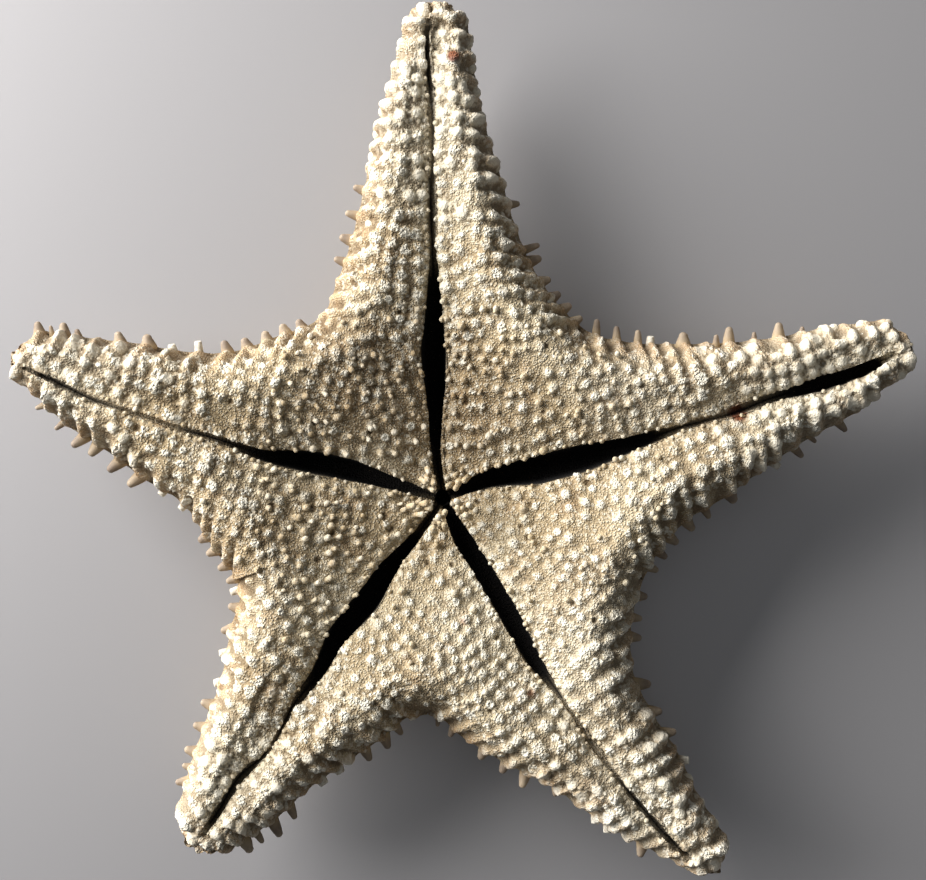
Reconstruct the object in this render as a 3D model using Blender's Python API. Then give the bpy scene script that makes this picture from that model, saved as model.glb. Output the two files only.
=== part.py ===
"""A dried cushion starfish lying on its back, with its grooved underside up.

The animal grew as one piece, so it is one solid. Its outline is worked out arm by arm from the
mouth: the inner part of each half arm ends on the line to the notch between two arms, and the
outer part ends on the arm's own margin. Over that outline lie two heights, the grooved side above
and the domed back below. Spines, knobs and the five blunt knobs that it stands on are joined on.
"""
import math

import bmesh
import bpy
import numpy as np
from mathutils import Matrix, Vector

# Every length below is in millimetres, and this brings it to metres.
MM = 0.001

# Where the mouth lies, from the middle of the whole outline.
MOUTH = np.array((-5.28, -16.19))

# Distances out from the mouth, and what the body measures there.
RINGS = (0.0, 30.0, 60.0, 90.0, 115.0, 134.0)
CREST_HEIGHT = (45.0, 45.5, 46.0, 45.0, 42.0, 38.5)
RIM_HEIGHT = (27.0, 27.0, 27.0, 29.0, 31.0, 31.5)
BACK_HEIGHT = (2.6, 3.4, 9.5, 18.0, 24.0, 27.5)
LOBE_RISE = (12.5, 12.5, 12.5, 9.0, 6.0, 4.5)
BACK_RISE = (40.0, 38.0, 30.0, 18.0, 11.0, 8.0)
INNER_SLOPE = 0.34

# Fractions of an arm's reach at which its half-widths are given.
WIDTH_AT = (0.45, 0.55, 0.65, 0.75, 0.85, 0.95)
# Fractions of an arm's reach at which its groove is given.
GROOVE_AT = (0.0, 0.1, 0.2, 0.3, 0.4, 0.5, 0.6, 0.7, 0.8, 0.9, 1.0)

# Each arm, from the one at the top and on to the right. Left and right are as seen looking out
# along the arm. An offset is how far the groove lies to the left of the line to the tip.
ARMS = (
    dict(name="top", angle=91.4, reach=132.0,
         left=(27.3, 22.5, 18.9, 15.7, 11.8, 7.8), right=(27.4, 21.8, 18.2, 14.5, 12.0, 10.4),
         gap=(1.6, 2.1, 4.4, 5.9, 3.1, 0.9, 0.8, 0.6, 0.6, 1.2, 0.5),
         offset=(0.0, 1.3, 1.2, 1.4, 0.9, 0.8, 0.8, 0.3, 0.3, 1.0, 0.0)),
    dict(name="right", angle=17.4, reach=131.1,
         left=(26.3, 21.4, 17.5, 14.9, 13.4, 11.2), right=(26.7, 23.0, 18.5, 14.5, 11.7, 6.4),
         gap=(1.6, 3.9, 7.0, 6.4, 3.3, 0.8, 0.7, 1.6, 3.1, 3.3, 0.8),
         offset=(0.0, 1.3, -0.1, -0.8, -0.9, -0.7, -0.9, -0.3, -0.7, -0.3, 1.6)),
    dict(name="lower_right", angle=-54.2, reach=122.6,
         left=(23.5, 15.0, 12.5, 11.8, 9.6, 9.0), right=(33.8, 28.6, 22.1, 17.8, 12.6, 6.0),
         gap=(1.8, 4.5, 4.5, 4.4, 3.1, 0.6, 0.5, 0.6, 1.3, 1.6, 0.6),
         offset=(0.0, -1.9, -2.6, -3.7, -5.2, -5.1, -5.3, -5.2, -4.4, -3.4, 0.0)),
    dict(name="lower_left", angle=-125.4, reach=113.2,
         left=(29.7, 24.7, 20.2, 16.2, 13.7, 9.2), right=(33.4, 26.5, 21.1, 17.8, 14.6, 10.5),
         gap=(1.6, 1.9, 4.3, 6.0, 4.8, 2.4, 0.9, 0.6, 1.4, 1.7, 0.8),
         offset=(0.0, 0.0, -1.0, -0.7, -1.6, -0.3, -0.5, 0.8, -1.0, -0.5, 0.0)),
    dict(name="left", angle=162.5, reach=120.1,
         left=(32.6, 23.0, 19.6, 15.3, 11.8, 5.6), right=(30.0, 21.0, 17.2, 15.6, 13.2, 11.3),
         gap=(1.6, 2.5, 5.0, 5.2, 2.5, 1.2, 0.6, 0.6, 0.8, 1.3, 0.8),
         offset=(0.0, 0.1, 0.0, 1.1, 2.9, 2.4, 2.7, 2.6, 2.3, 0.7, 0.0)),
)

# The notch on the left of each arm above: its direction and its distance from the mouth.
NOTCHES = ((126.0, 59.2), (51.0, 59.8), (-22.0, 58.8), (-94.0, 59.0), (201.5, 60.2))
# A half-width given nearer than this to the notch is left out, so that the notch stays smooth.
NOTCH_CLEAR = 6.0

# The groove: how deep it is for its width, where it closes as a fraction of the arm's reach, and
# how its edges round over. Near the margin it fades out within the last distance.
GROOVE_DEPTH_PER_WIDTH = 2.6
GROOVE_DEPTH_MOST = 13.0
GROOVE_DEPTH_LEAST = 1.6
GROOVE_END = (0.92, 0.97)
MOUTH_RADIUS = 1.7
LIP_DROP = 1.5
LIP_WIDTH = 2.6
LIP_END = (0.75, 1.0)
GROOVE_FADE = 3.0

# The keel along the middle of each arm's back. It begins between two distances from the mouth.
KEEL_HEIGHT = 1.4
KEEL_WIDTH = 5.0
KEEL_START = (10.0, 35.0)
KEEL_FADE = 6.0

# How many steps the solid has: mouth to notch, notch to tip, and across each side. Next to the
# groove one line of points lies on its wall and one on its lip, and where the arm is narrow they
# keep within a share of the way across.
DISC_STEPS = 6
ARM_STEPS = 11
TOP_STEPS = (0.2, 0.44, 0.67, 0.86, 0.96)
BACK_STEPS = (0.97, 0.86, 0.62, 0.32)
WALL_SHARE = 0.6
LIP_STEP = 0.7
LIP_SHARE = 0.3

# The spines on the left and the right margin of each arm, from the notch to the tip. Each has its
# place as a fraction from the notch to the tip, its length out of the margin, its radius, its lean
# towards the tip in degrees, and whether it is broken off.
SPINES = {
    "top": (
        ((0.186, 2.6, 1.3, -1, 0), (0.255, 2.9, 1.6, 1, 0), (0.332, 3.1, 1.3, 0, 0),
         (0.413, 2.6, 1.3, 7, 0)),
        ((0.016, 1.8, 1.5, -16, 0), (0.054, 2.2, 1.6, -14, 0), (0.092, 2.0, 1.6, -10, 0),
         (0.14, 2.2, 1.5, -19, 0), (0.203, 3.0, 1.6, -9, 0), (0.24, 4.0, 1.1, -5, 0),
         (0.379, 2.7, 1.2, -12, 0)),
    ),
    "right": (
        ((0.034, 4.1, 1.1, -20, 0), (0.094, 3.4, 1.1, -10, 0), (0.157, 3.3, 1.1, -5, 0),
         (0.196, 1.8, 1.2, 0, 1), (0.299, 2.8, 1.9, -1, 0), (0.402, 2.0, 0.9, 2, 0),
         (0.442, 4.0, 1.5, 4, 0), (0.523, 1.9, 0.8, 6, 0), (0.602, 3.6, 1.6, 9, 0),
         (0.679, 1.2, 0.9, 15, 0)),
        ((0.029, 2.2, 1.3, 2, 0), (0.069, 2.4, 1.3, -3, 0), (0.116, 2.4, 1.6, 5, 0),
         (0.179, 2.9, 1.6, -2, 0), (0.244, 2.4, 1.2, -2, 0), (0.333, 2.4, 2.0, -8, 0),
         (0.492, 1.8, 1.2, 19, 1), (0.567, 3.0, 1.2, 8, 0), (0.626, 1.5, 0.8, 14, 0),
         (0.721, 2.7, 1.2, 11, 0)),
    ),
    "lower_right": (
        ((0.035, 2.2, 1.5, -14, 0), (0.088, 2.2, 1.3, -3, 0), (0.141, 2.6, 1.5, 4, 0),
         (0.295, 3.4, 1.7, 20, 0), (0.407, 2.4, 1.6, 25, 0), (0.498, 2.6, 1.5, 25, 0),
         (0.614, 1.6, 1.3, 25, 1)),
        ((0.029, 1.9, 0.8, 16, 0), (0.089, 1.8, 1.1, 20, 0), (0.212, 2.2, 1.6, 3, 0),
         (0.292, 2.4, 1.5, 1, 0), (0.36, 3.6, 1.5, 10, 0), (0.467, 1.4, 1.1, 25, 0),
         (0.625, 1.2, 1.3, 25, 1), (0.671, 1.6, 1.3, 25, 1), (0.794, 2.7, 1.5, 14, 0)),
    ),
    "lower_left": (
        ((0.11, 2.4, 1.2, 10, 0), (0.18, 2.8, 1.5, 15, 0), (0.269, 2.9, 1.5, 7, 0),
         (0.398, 1.2, 1.6, 3, 1), (0.478, 1.2, 1.6, 0, 1), (0.647, 3.3, 1.3, 20, 0),
         (0.74, 4.2, 1.6, 8, 0), (0.817, 2.9, 1.1, -3, 0), (0.872, 3.4, 1.8, 2, 0)),
        ((0.027, 2.1, 1.2, 7, 1), (0.09, 2.3, 1.5, 1, 0), (0.187, 2.0, 1.5, 16, 0),
         (0.274, 1.6, 1.2, 17, 1), (0.394, 1.2, 1.3, 25, 1), (0.488, 2.7, 1.6, 1, 0),
         (0.585, 2.5, 1.5, 3, 0), (0.69, 2.4, 1.6, 1, 0), (0.755, 1.6, 1.1, -2, 0),
         (0.817, 2.2, 1.3, 20, 0)),
    ),
    "left": (
        ((0.003, 2.2, 1.3, 18, 0), (0.048, 2.2, 1.5, 17, 0), (0.106, 2.0, 1.5, 9, 0),
         (0.151, 1.9, 1.6, 2, 0), (0.26, 1.2, 1.2, -8, 1), (0.345, 1.2, 1.3, 4, 1),
         (0.444, 3.8, 1.7, 15, 0), (0.529, 3.9, 1.7, 13, 0), (0.622, 3.2, 1.7, 4, 0),
         (0.679, 3.8, 1.6, 20, 0), (0.765, 2.6, 0.9, 10, 0), (0.85, 2.3, 0.9, 20, 0)),
        ((0.035, 2.2, 1.6, 7, 0), (0.088, 2.2, 1.7, 2, 0), (0.144, 2.2, 1.7, -7, 0),
         (0.205, 2.4, 1.7, 5, 0), (0.269, 3.0, 1.6, 13, 0), (0.367, 3.0, 1.2, 8, 1),
         (0.463, 1.2, 1.3, 20, 1), (0.553, 2.6, 2.0, 20, 0), (0.656, 2.3, 1.6, 20, 0),
         (0.806, 1.6, 1.1, 20, 0), (0.855, 2.8, 1.6, 15, 0), (0.902, 1.4, 0.7, 16, 0),
         (0.946, 2.4, 1.5, -7, 0)),
    ),
}
# Every spine tilts up by an angle, starts inside the body and stands a little above the rim. The
# widths of its rings are shares of its radius, and only the stouter ones have a middle ring.
SPINE_SIDES = 6
SPINE_TILT = 12.0
SPINE_ROOT = 1.6
SPINE_UP = 1.2
SPINE_FOOT = 1.25
SPINE_MIDDLE = (0.45, 0.88)
SPINE_TIP = 0.42
STUMP_TIP = 0.85
STOUT_RADIUS = 1.25

# Round knobs in place of spines near the tips: where each row starts and ends, and how many.
KNOB_ROWS = {
    "top": ((0.52, 0.95, 7), (0.50, 0.95, 7)),
    "right": ((0.78, 0.96, 3), (0.82, 0.95, 2)),
    "lower_right": ((0.68, 0.95, 4), None),
    "lower_left": (None, None),
    "left": (None, None),
}
# They grow smaller towards the tip, start inside the body and face up and out.
KNOB_RADIUS = 2.3
KNOB_TAPER = (1.05, 0.3)
KNOB_ROOT = 0.75
KNOB_UP = 2.0
KNOB_LIFT = 0.5
KNOB_SIDES = 6
KNOB_RINGS = ((-0.5, 1.1), (0.9, 0.55))

# The five worn knobs that it stands on, and the smaller ones along the keels and on the back, each
# with its distance from the mouth and its radius.
FOOT_RING = 37.0
FOOT_RADIUS = 4.6
FOOT_FLAT = 3.0
FOOT_SIDES = 12
KEEL_KNOBS = ((50.0, 3.4), (61.0, 3.2), (71.0, 2.9), (80.0, 2.7), (89.0, 2.4), (97.0, 2.1))
BACK_KNOBS = ((26.0, 3.0),)

SKIN_COLOUR = (0.48, 0.39, 0.27, 1.0)
SKIN_ROUGHNESS = 0.85


def start_empty():
    """Remove what the scene holds."""
    for thing in list(bpy.data.objects):
        bpy.data.objects.remove(thing, do_unlink=True)


def smooth_line(at, places, values, first_slope=None):
    """A smooth curve through the given values."""
    at = np.asarray(at, dtype=float)
    places = np.asarray(places, dtype=float)
    values = np.asarray(values, dtype=float)
    slopes = np.gradient(values, places)
    if first_slope is not None:
        slopes[0] = first_slope
    span = np.clip(np.searchsorted(places, at, side="right") - 1, 0, len(places) - 2)
    width = places[span + 1] - places[span]
    part = np.clip((at - places[span]) / width, 0.0, 1.0)
    start = values[span] * (1 + 2 * part) * (1 - part) ** 2
    end = values[span + 1] * part ** 2 * (3 - 2 * part)
    lean = slopes[span] * part * (1 - part) ** 2 - slopes[span + 1] * part ** 2 * (1 - part)
    return start + end + lean * width


def along(arm):
    """The arm's direction, out from the mouth."""
    turn = math.radians(arm["angle"])
    return np.array((math.cos(turn), math.sin(turn)))


def leftward(arm):
    """The direction to the arm's left."""
    turn = math.radians(arm["angle"])
    return np.array((-math.sin(turn), math.cos(turn)))


def notch_of(index, side):
    """The notch beside an arm: its direction and its distance from the mouth."""
    return NOTCHES[index] if side > 0 else NOTCHES[(index + 1) % len(ARMS)]


def notch_angle(index, side):
    """The angle from an arm's line to its notch, without a sign."""
    turn = (notch_of(index, side)[0] - ARMS[index]["angle"] + 180.0) % 360.0 - 180.0
    return math.radians(abs(turn))


def margin(index, side, part):
    """Points on an arm's margin, part running from 0 at the notch to 1 at the tip."""
    arm = ARMS[index]
    turn = notch_angle(index, side)
    reach = arm["reach"]
    notch = notch_of(index, side)[1]
    widths = arm["left"] if side > 0 else arm["right"]
    places = [notch * math.cos(turn)]
    sizes = [notch * math.sin(turn)]
    for fraction, size in zip(WIDTH_AT, widths):
        if fraction * reach > places[-1] + NOTCH_CLEAR:
            places.append(fraction * reach)
            sizes.append(size)
    out = places[0] + (reach - places[0]) * np.asarray(part, dtype=float)
    last = places[-1]
    width = smooth_line(np.minimum(out, last), places, sizes, -1.0 / math.tan(turn))
    end = np.clip((out - last) / (reach - last), 0.0, 1.0)
    width = width * np.sqrt(1.0 - end ** 2)
    return MOUTH + np.outer(out, along(arm)) + side * np.outer(width, leftward(arm))


def groove_line(arm, out):
    """Half the groove's width and its offset, at distances out along the arm."""
    places = np.array(GROOVE_AT) * arm["reach"]
    half = 0.5 * np.interp(out, places, arm["gap"])
    offset = smooth_line(np.clip(out, 0.0, arm["reach"]), places, arm["offset"])
    return half, offset


def tip_spread(count):
    """Steps from 0 to 1 that grow closer together towards 1."""
    step = np.arange(count + 1) / count
    return np.sin(step * math.pi / 2) * 0.45 + step * 0.55


def outline():
    """Every margin as one run of segments, for measuring the distance to the edge."""
    steps = tip_spread(60)
    starts = []
    ends = []
    for index in range(len(ARMS)):
        for side in (1, -1):
            points = margin(index, side, steps)
            starts.append(points[:-1])
            ends.append(points[1:])
    return np.vstack(starts), np.vstack(ends)


def edge_distance(points, line):
    """How far each point lies inside the outline."""
    starts, ends = line
    nearest = np.full(len(points), 1e9)
    for start, end in zip(starts, ends):
        run = end - start
        part = np.clip((points - start) @ run / (run @ run), 0.0, 1.0)
        gap = np.hypot(*(points - start - np.outer(part, run)).T)
        nearest = np.minimum(nearest, gap)
    return nearest


def ease(value):
    """A smooth step from 0 to 1."""
    value = np.clip(value, 0.0, 1.0)
    return value * value * (3.0 - 2.0 * value)


def quarter_round(part):
    """The rise of a quarter of an ellipse."""
    return np.sqrt(np.clip(1.0 - (1.0 - np.clip(part, 0.0, 1.0)) ** 2, 0.0, 1.0))


def groove_sink(points):
    """How far the grooves, the mouth and their rounded edges lie below the lobes."""
    centre = np.hypot(*(points - MOUTH).T)
    sink = GROOVE_DEPTH_MOST * (1.0 - ease((centre - 0.5 * MOUTH_RADIUS) / MOUTH_RADIUS))
    for arm in ARMS:
        out = (points - MOUTH) @ along(arm)
        across = (points - MOUTH) @ leftward(arm)
        half, offset = groove_line(arm, out)
        gap = np.hypot(np.minimum(out, 0.0), across - offset)
        depth = np.clip(2 * half * GROOVE_DEPTH_PER_WIDTH, GROOVE_DEPTH_LEAST, GROOVE_DEPTH_MOST)
        share = out / arm["reach"]
        closed = ease((share - GROOVE_END[0]) / (GROOVE_END[1] - GROOVE_END[0]))
        wall = depth * (1.0 - ease((gap - 0.5 * half) / (0.6 * half + 0.4))) * (1.0 - closed)
        lip = LIP_DROP * np.exp(-np.maximum(gap - half, 0.0) / LIP_WIDTH)
        flat = ease((share - LIP_END[0]) / (LIP_END[1] - LIP_END[0]))
        sink = np.maximum(sink, wall + lip * (1.0 - flat))
    return sink


def keel(points):
    """How far the keels stand down from the back."""
    height = np.zeros(len(points))
    for arm in ARMS:
        out = (points - MOUTH) @ along(arm)
        across = (points - MOUTH) @ leftward(arm)
        start = ease((out - KEEL_START[0]) / (KEEL_START[1] - KEEL_START[0]))
        ridge = np.exp(-(across / KEEL_WIDTH) ** 2) * start
        height = np.maximum(height, KEEL_HEIGHT * ridge)
    return height


def upper_height(points, edge):
    """The height of the grooved side."""
    centre = np.hypot(*(points - MOUTH).T)
    crest = smooth_line(centre, RINGS, CREST_HEIGHT)
    rim = smooth_line(centre, RINGS, RIM_HEIGHT)
    rise = smooth_line(centre, RINGS, LOBE_RISE)
    height = rim + (crest - rim) * quarter_round(edge / rise)
    height = height - INNER_SLOPE * np.maximum(edge - rise, 0.0)
    return height - groove_sink(points) * ease(edge / GROOVE_FADE)


def lower_height(points, edge):
    """The height of the domed back."""
    centre = np.hypot(*(points - MOUTH).T)
    back = smooth_line(centre, RINGS, BACK_HEIGHT)
    rim = smooth_line(centre, RINGS, RIM_HEIGHT)
    rise = smooth_line(centre, RINGS, BACK_RISE)
    height = rim - (rim - back) * quarter_round(edge / rise)
    return height - keel(points) * ease(edge / KEEL_FADE)


def half_arm(index, side):
    """The lines of points of half an arm: those on its groove and those on its outer side."""
    arm = ARMS[index]
    direction, notch = notch_of(index, side)
    turn = math.radians(direction)
    disc = np.arange(DISC_STEPS + 1) / DISC_STEPS
    steps = tip_spread(ARM_STEPS)[1:]
    shared = 0.5 * sum(notch_of(index, s)[1] * math.cos(notch_angle(index, s)) for s in (1, -1))
    out = np.concatenate((disc * shared, shared + (arm["reach"] - shared) * steps))
    offset = groove_line(arm, out)[1]
    inner = MOUTH + np.outer(out, along(arm)) + np.outer(offset, leftward(arm))
    seam = MOUTH + np.outer(disc * notch, (math.cos(turn), math.sin(turn)))
    outer = np.vstack((seam, margin(index, side, steps)))
    inner[-1] = outer[-1] = MOUTH + arm["reach"] * along(arm)
    return inner, outer, groove_line(arm, out)[0]


def across_places(length, half):
    """Distances out from the groove's middle to the outer side of one line of points."""
    most = LIP_SHARE * length
    lip = min(half + LIP_STEP, most)
    places = [0.0, min(WALL_SHARE * half, 0.5 * most), lip]
    return places + [lip + (length - lip) * share for share in TOP_STEPS]


def body_rows():
    """The lines of points of the body: for each half arm its side, its upper and lower lines."""
    line = outline()
    rows = []
    for index, arm in enumerate(ARMS):
        for side in (1, -1):
            inner, outer, half = half_arm(index, side)
            upper = []
            lower = []
            last = len(inner) - 1
            for step in range(1, last):
                run = outer[step] - inner[step]
                length = np.hypot(*run)
                places = [place / length for place in across_places(length, half[step])]
                upper.append([inner[step] + run * place for place in places] + [outer[step]])
                middle = MOUTH + along(arm) * ((inner[step] - MOUTH) @ along(arm))
                run = outer[step] - middle
                lower.append([middle + run * place for place in BACK_STEPS] + [middle])
            rows.append((side, upper, lower, outer[last]))
    return rows, line


def build_body():
    """The body as one closed mesh."""
    rows, line = body_rows()
    mesh = bmesh.new()

    def add(points, above, on_rim):
        points = np.array(points)
        edge = edge_distance(points, line)
        edge[on_rim] = 0.0
        height = upper_height(points, edge) if above else lower_height(points, edge)
        return [mesh.verts.new((*(point * MM), z * MM)) for point, z in zip(points, height)]

    top_centre = add([MOUTH], True, [False])[0]
    low_centre = add([MOUTH], False, [False])[0]

    def face(corners, flip):
        corners = [corner for place, corner in enumerate(corners) if corner not in corners[:place]]
        if len(corners) > 2:
            mesh.faces.new(corners[::-1] if flip else corners)

    for side, upper, lower, tip in rows:
        flip = side < 0
        tip_vertex = add([tip], True, [True])[0]
        top_rows = [[top_centre] * len(upper[0])]
        low_rows = [[low_centre] * (len(lower[0]) + 1)]
        for step, (above, below) in enumerate(zip(upper, lower), start=1):
            rim = [False] * (len(above) - 1) + [step >= DISC_STEPS]
            top_row = add(above, True, rim)
            low_row = add(below, False, [False] * len(below))
            if step >= DISC_STEPS:
                low_row = [top_row[-1]] + low_row
            else:
                low_row = add([above[-1]], False, [False]) + low_row
            top_rows.append(top_row)
            low_rows.append(low_row)
        top_rows.append([tip_vertex] * len(upper[0]))
        low_rows.append([tip_vertex] * (len(lower[0]) + 1))
        for near, far in zip(top_rows, top_rows[1:]):
            for place in range(len(near) - 1):
                face([near[place], far[place], far[place + 1], near[place + 1]], flip)
        for near, far in zip(low_rows, low_rows[1:]):
            for place in range(len(near) - 1):
                face([near[place], far[place], far[place + 1], near[place + 1]], flip)

    bmesh.ops.remove_doubles(mesh, verts=mesh.verts, dist=0.00002)
    bmesh.ops.triangulate(mesh, faces=mesh.faces)
    bmesh.ops.recalc_face_normals(mesh, faces=mesh.faces)
    return mesh, line


def stud(mesh, foot, direction, rings, sides, spin=0.0):
    """A closed round lump: rings of (distance along, radius) from its foot to its end."""
    turn = Vector(direction).to_track_quat("Z", "Y").to_matrix().to_4x4()
    place = Matrix.Translation(Vector(foot) * MM) @ turn
    loops = []
    for distance, radius in rings:
        loop = []
        for corner in range(sides):
            angle = 2 * math.pi * corner / sides + spin
            spot = Vector((radius * math.cos(angle), radius * math.sin(angle), distance)) * MM
            loop.append(mesh.verts.new(place @ spot))
        loops.append(loop)
    mesh.faces.new(loops[0][::-1])
    mesh.faces.new(loops[-1])
    for near, far in zip(loops, loops[1:]):
        for corner in range(sides):
            after = (corner + 1) % sides
            mesh.faces.new((near[corner], near[after], far[after], far[corner]))


def margin_spot(index, side, part, lean=0.0):
    """A point on the margin and the direction out from it, leaning towards the tip by an angle."""
    points = margin(index, side, [part - 0.01, part, part + 0.01])
    run = points[2] - points[0]
    run = run / np.hypot(*run)
    out = np.array((-run[1], run[0])) * side
    turn = math.radians(lean)
    return points[1], out * math.cos(turn) + run * math.sin(turn)


def rim_height(point):
    """The height of the rim at a point."""
    centre = np.hypot(*(np.array(point) - MOUTH))
    return float(smooth_line([centre], RINGS, RIM_HEIGHT)[0])


def add_spines(mesh):
    """The blunt spines that stand out from the margins, some of them broken off."""
    lift = math.tan(math.radians(SPINE_TILT))
    for index, arm in enumerate(ARMS):
        for side, row in zip((1, -1), SPINES[arm["name"]]):
            for number, (part, length, radius, lean, broken) in enumerate(row):
                spot, out = margin_spot(index, side, part, lean)
                foot = (*(spot - out * SPINE_ROOT), rim_height(spot) + SPINE_UP)
                rings = [(0.0, SPINE_FOOT * radius)]
                if radius > STOUT_RADIUS and not broken:
                    place, width = SPINE_MIDDLE
                    rings.append((SPINE_ROOT + place * length, width * radius))
                tip = STUMP_TIP if broken else SPINE_TIP
                rings.append((SPINE_ROOT + length, tip * radius))
                stud(mesh, foot, (out[0], out[1], lift), rings, SPINE_SIDES, number)


def add_margin_knobs(mesh):
    """The round knobs on the margins near the tips."""
    for index, arm in enumerate(ARMS):
        for side, row in zip((1, -1), KNOB_ROWS[arm["name"]]):
            if row is None:
                continue
            start, end, count = row
            for number in range(count):
                part = start + (end - start) * number / (count - 1)
                spot, out = margin_spot(index, side, part)
                radius = KNOB_RADIUS * (KNOB_TAPER[0] - KNOB_TAPER[1] * part)
                foot = (*(spot - out * (KNOB_ROOT * radius)), rim_height(spot) + KNOB_UP)
                knob(mesh, foot, (out[0], out[1], KNOB_LIFT), radius, number)


def knob(mesh, foot, direction, radius, spin):
    """A low round knob."""
    rings = [(place * radius, width * radius) for place, width in KNOB_RINGS]
    stud(mesh, foot, direction, rings, KNOB_SIDES, spin)


def add_back_knobs(mesh, line):
    """The knobs along the keels and between the arms, on the back."""
    for index, arm in enumerate(ARMS):
        spots = [(MOUTH + along(arm) * out, radius) for out, radius in KEEL_KNOBS]
        turn = math.radians(NOTCHES[index][0])
        between = np.array((math.cos(turn), math.sin(turn)))
        spots += [(MOUTH + between * out, radius) for out, radius in BACK_KNOBS]
        for spot, radius in spots:
            edge = edge_distance(np.array([spot]), line)
            height = float(lower_height(np.array([spot]), edge)[0])
            knob(mesh, (*spot, height), (0, 0, -1), radius, 0.3)


def add_feet(mesh):
    """The five worn knobs with flat ends that the animal stands on."""
    for arm in ARMS:
        spot = MOUTH + along(arm) * FOOT_RING
        rings = ((-9.0, 1.1 * FOOT_RADIUS), (-2.4, FOOT_RADIUS), (0.0, FOOT_FLAT))
        stud(mesh, (*spot, 0.0), (0, 0, -1), rings, FOOT_SIDES)


def skin_material():
    """Dry, chalky skin."""
    material = bpy.data.materials.new("dried_skin")
    material.use_nodes = True
    shader = material.node_tree.nodes["Principled BSDF"]
    shader.inputs["Base Color"].default_value = SKIN_COLOUR
    shader.inputs["Roughness"].default_value = SKIN_ROUGHNESS
    shader.inputs["Metallic"].default_value = 0.0
    return material


def add_object(name, mesh):
    """An object from a mesh, in the scene."""
    data = bpy.data.meshes.new(name)
    mesh.to_mesh(data)
    mesh.free()
    thing = bpy.data.objects.new(name, data)
    bpy.context.scene.collection.objects.link(thing)
    return thing


def main():
    """Build the starfish."""
    start_empty()
    body, line = build_body()
    starfish = add_object("starfish", body)
    starfish.data.materials.append(skin_material())

    studs = bmesh.new()
    add_spines(studs)
    add_margin_knobs(studs)
    add_back_knobs(studs, line)
    add_feet(studs)
    bmesh.ops.recalc_face_normals(studs, faces=studs.faces)
    lumps = add_object("lumps_joined_on", studs)
    lumps.hide_render = True
    lumps.display_type = "WIRE"

    join = starfish.modifiers.new("join_lumps", "BOOLEAN")
    join.operation = "UNION"
    join.solver = "EXACT"
    join.use_self = True
    join.object = lumps


main()
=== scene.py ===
import math
import random

import bmesh
import bpy
import numpy as np
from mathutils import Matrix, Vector
from mathutils.bvhtree import BVHTree


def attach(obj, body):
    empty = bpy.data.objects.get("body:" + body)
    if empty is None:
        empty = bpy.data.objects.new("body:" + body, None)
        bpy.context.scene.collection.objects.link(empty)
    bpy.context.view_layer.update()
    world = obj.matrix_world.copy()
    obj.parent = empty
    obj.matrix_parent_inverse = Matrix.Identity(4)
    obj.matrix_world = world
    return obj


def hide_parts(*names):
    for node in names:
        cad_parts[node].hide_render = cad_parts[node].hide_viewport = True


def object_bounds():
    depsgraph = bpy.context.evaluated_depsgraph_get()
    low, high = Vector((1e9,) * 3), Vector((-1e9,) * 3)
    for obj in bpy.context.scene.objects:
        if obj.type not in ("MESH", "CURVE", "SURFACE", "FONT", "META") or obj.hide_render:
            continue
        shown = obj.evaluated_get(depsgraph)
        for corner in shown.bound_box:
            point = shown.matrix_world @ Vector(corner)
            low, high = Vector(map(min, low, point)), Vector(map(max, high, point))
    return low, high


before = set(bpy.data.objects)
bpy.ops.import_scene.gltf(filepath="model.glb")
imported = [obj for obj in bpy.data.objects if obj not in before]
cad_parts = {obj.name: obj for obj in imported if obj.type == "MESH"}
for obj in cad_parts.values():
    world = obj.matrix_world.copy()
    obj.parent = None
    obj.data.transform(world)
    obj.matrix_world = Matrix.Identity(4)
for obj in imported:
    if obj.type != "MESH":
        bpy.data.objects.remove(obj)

# The dried starfish seen from its grooved underside. Lengths are in millimetres until a mesh is
# made, and MM brings them to metres.
MM = 0.001
CAD_LOW, CAD_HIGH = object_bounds()
NODE = "starfish"

# The shape follows the solid's: where the mouth lies, and heights at distances out from it. Only
# the grooves differ, whose walls are steeper here and whose lips drop less.
MOUTH = np.array((-5.28, -16.19))
RINGS = (0.0, 30.0, 60.0, 90.0, 115.0, 134.0)
CREST_HEIGHT = (45.0, 45.5, 46.0, 45.0, 42.0, 38.5)
RIM_HEIGHT = (27.0, 27.0, 27.0, 29.0, 31.0, 31.5)
BACK_HEIGHT = (2.6, 3.4, 9.5, 18.0, 24.0, 27.5)
LOBE_RISE = (12.5, 12.5, 12.5, 9.0, 6.0, 4.5)
BACK_RISE = (40.0, 38.0, 30.0, 18.0, 11.0, 8.0)
INNER_SLOPE = 0.34

WIDTH_AT = (0.45, 0.55, 0.65, 0.75, 0.85, 0.95)
GROOVE_AT = (0.0, 0.1, 0.2, 0.3, 0.4, 0.5, 0.6, 0.7, 0.8, 0.9, 1.0)

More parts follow.
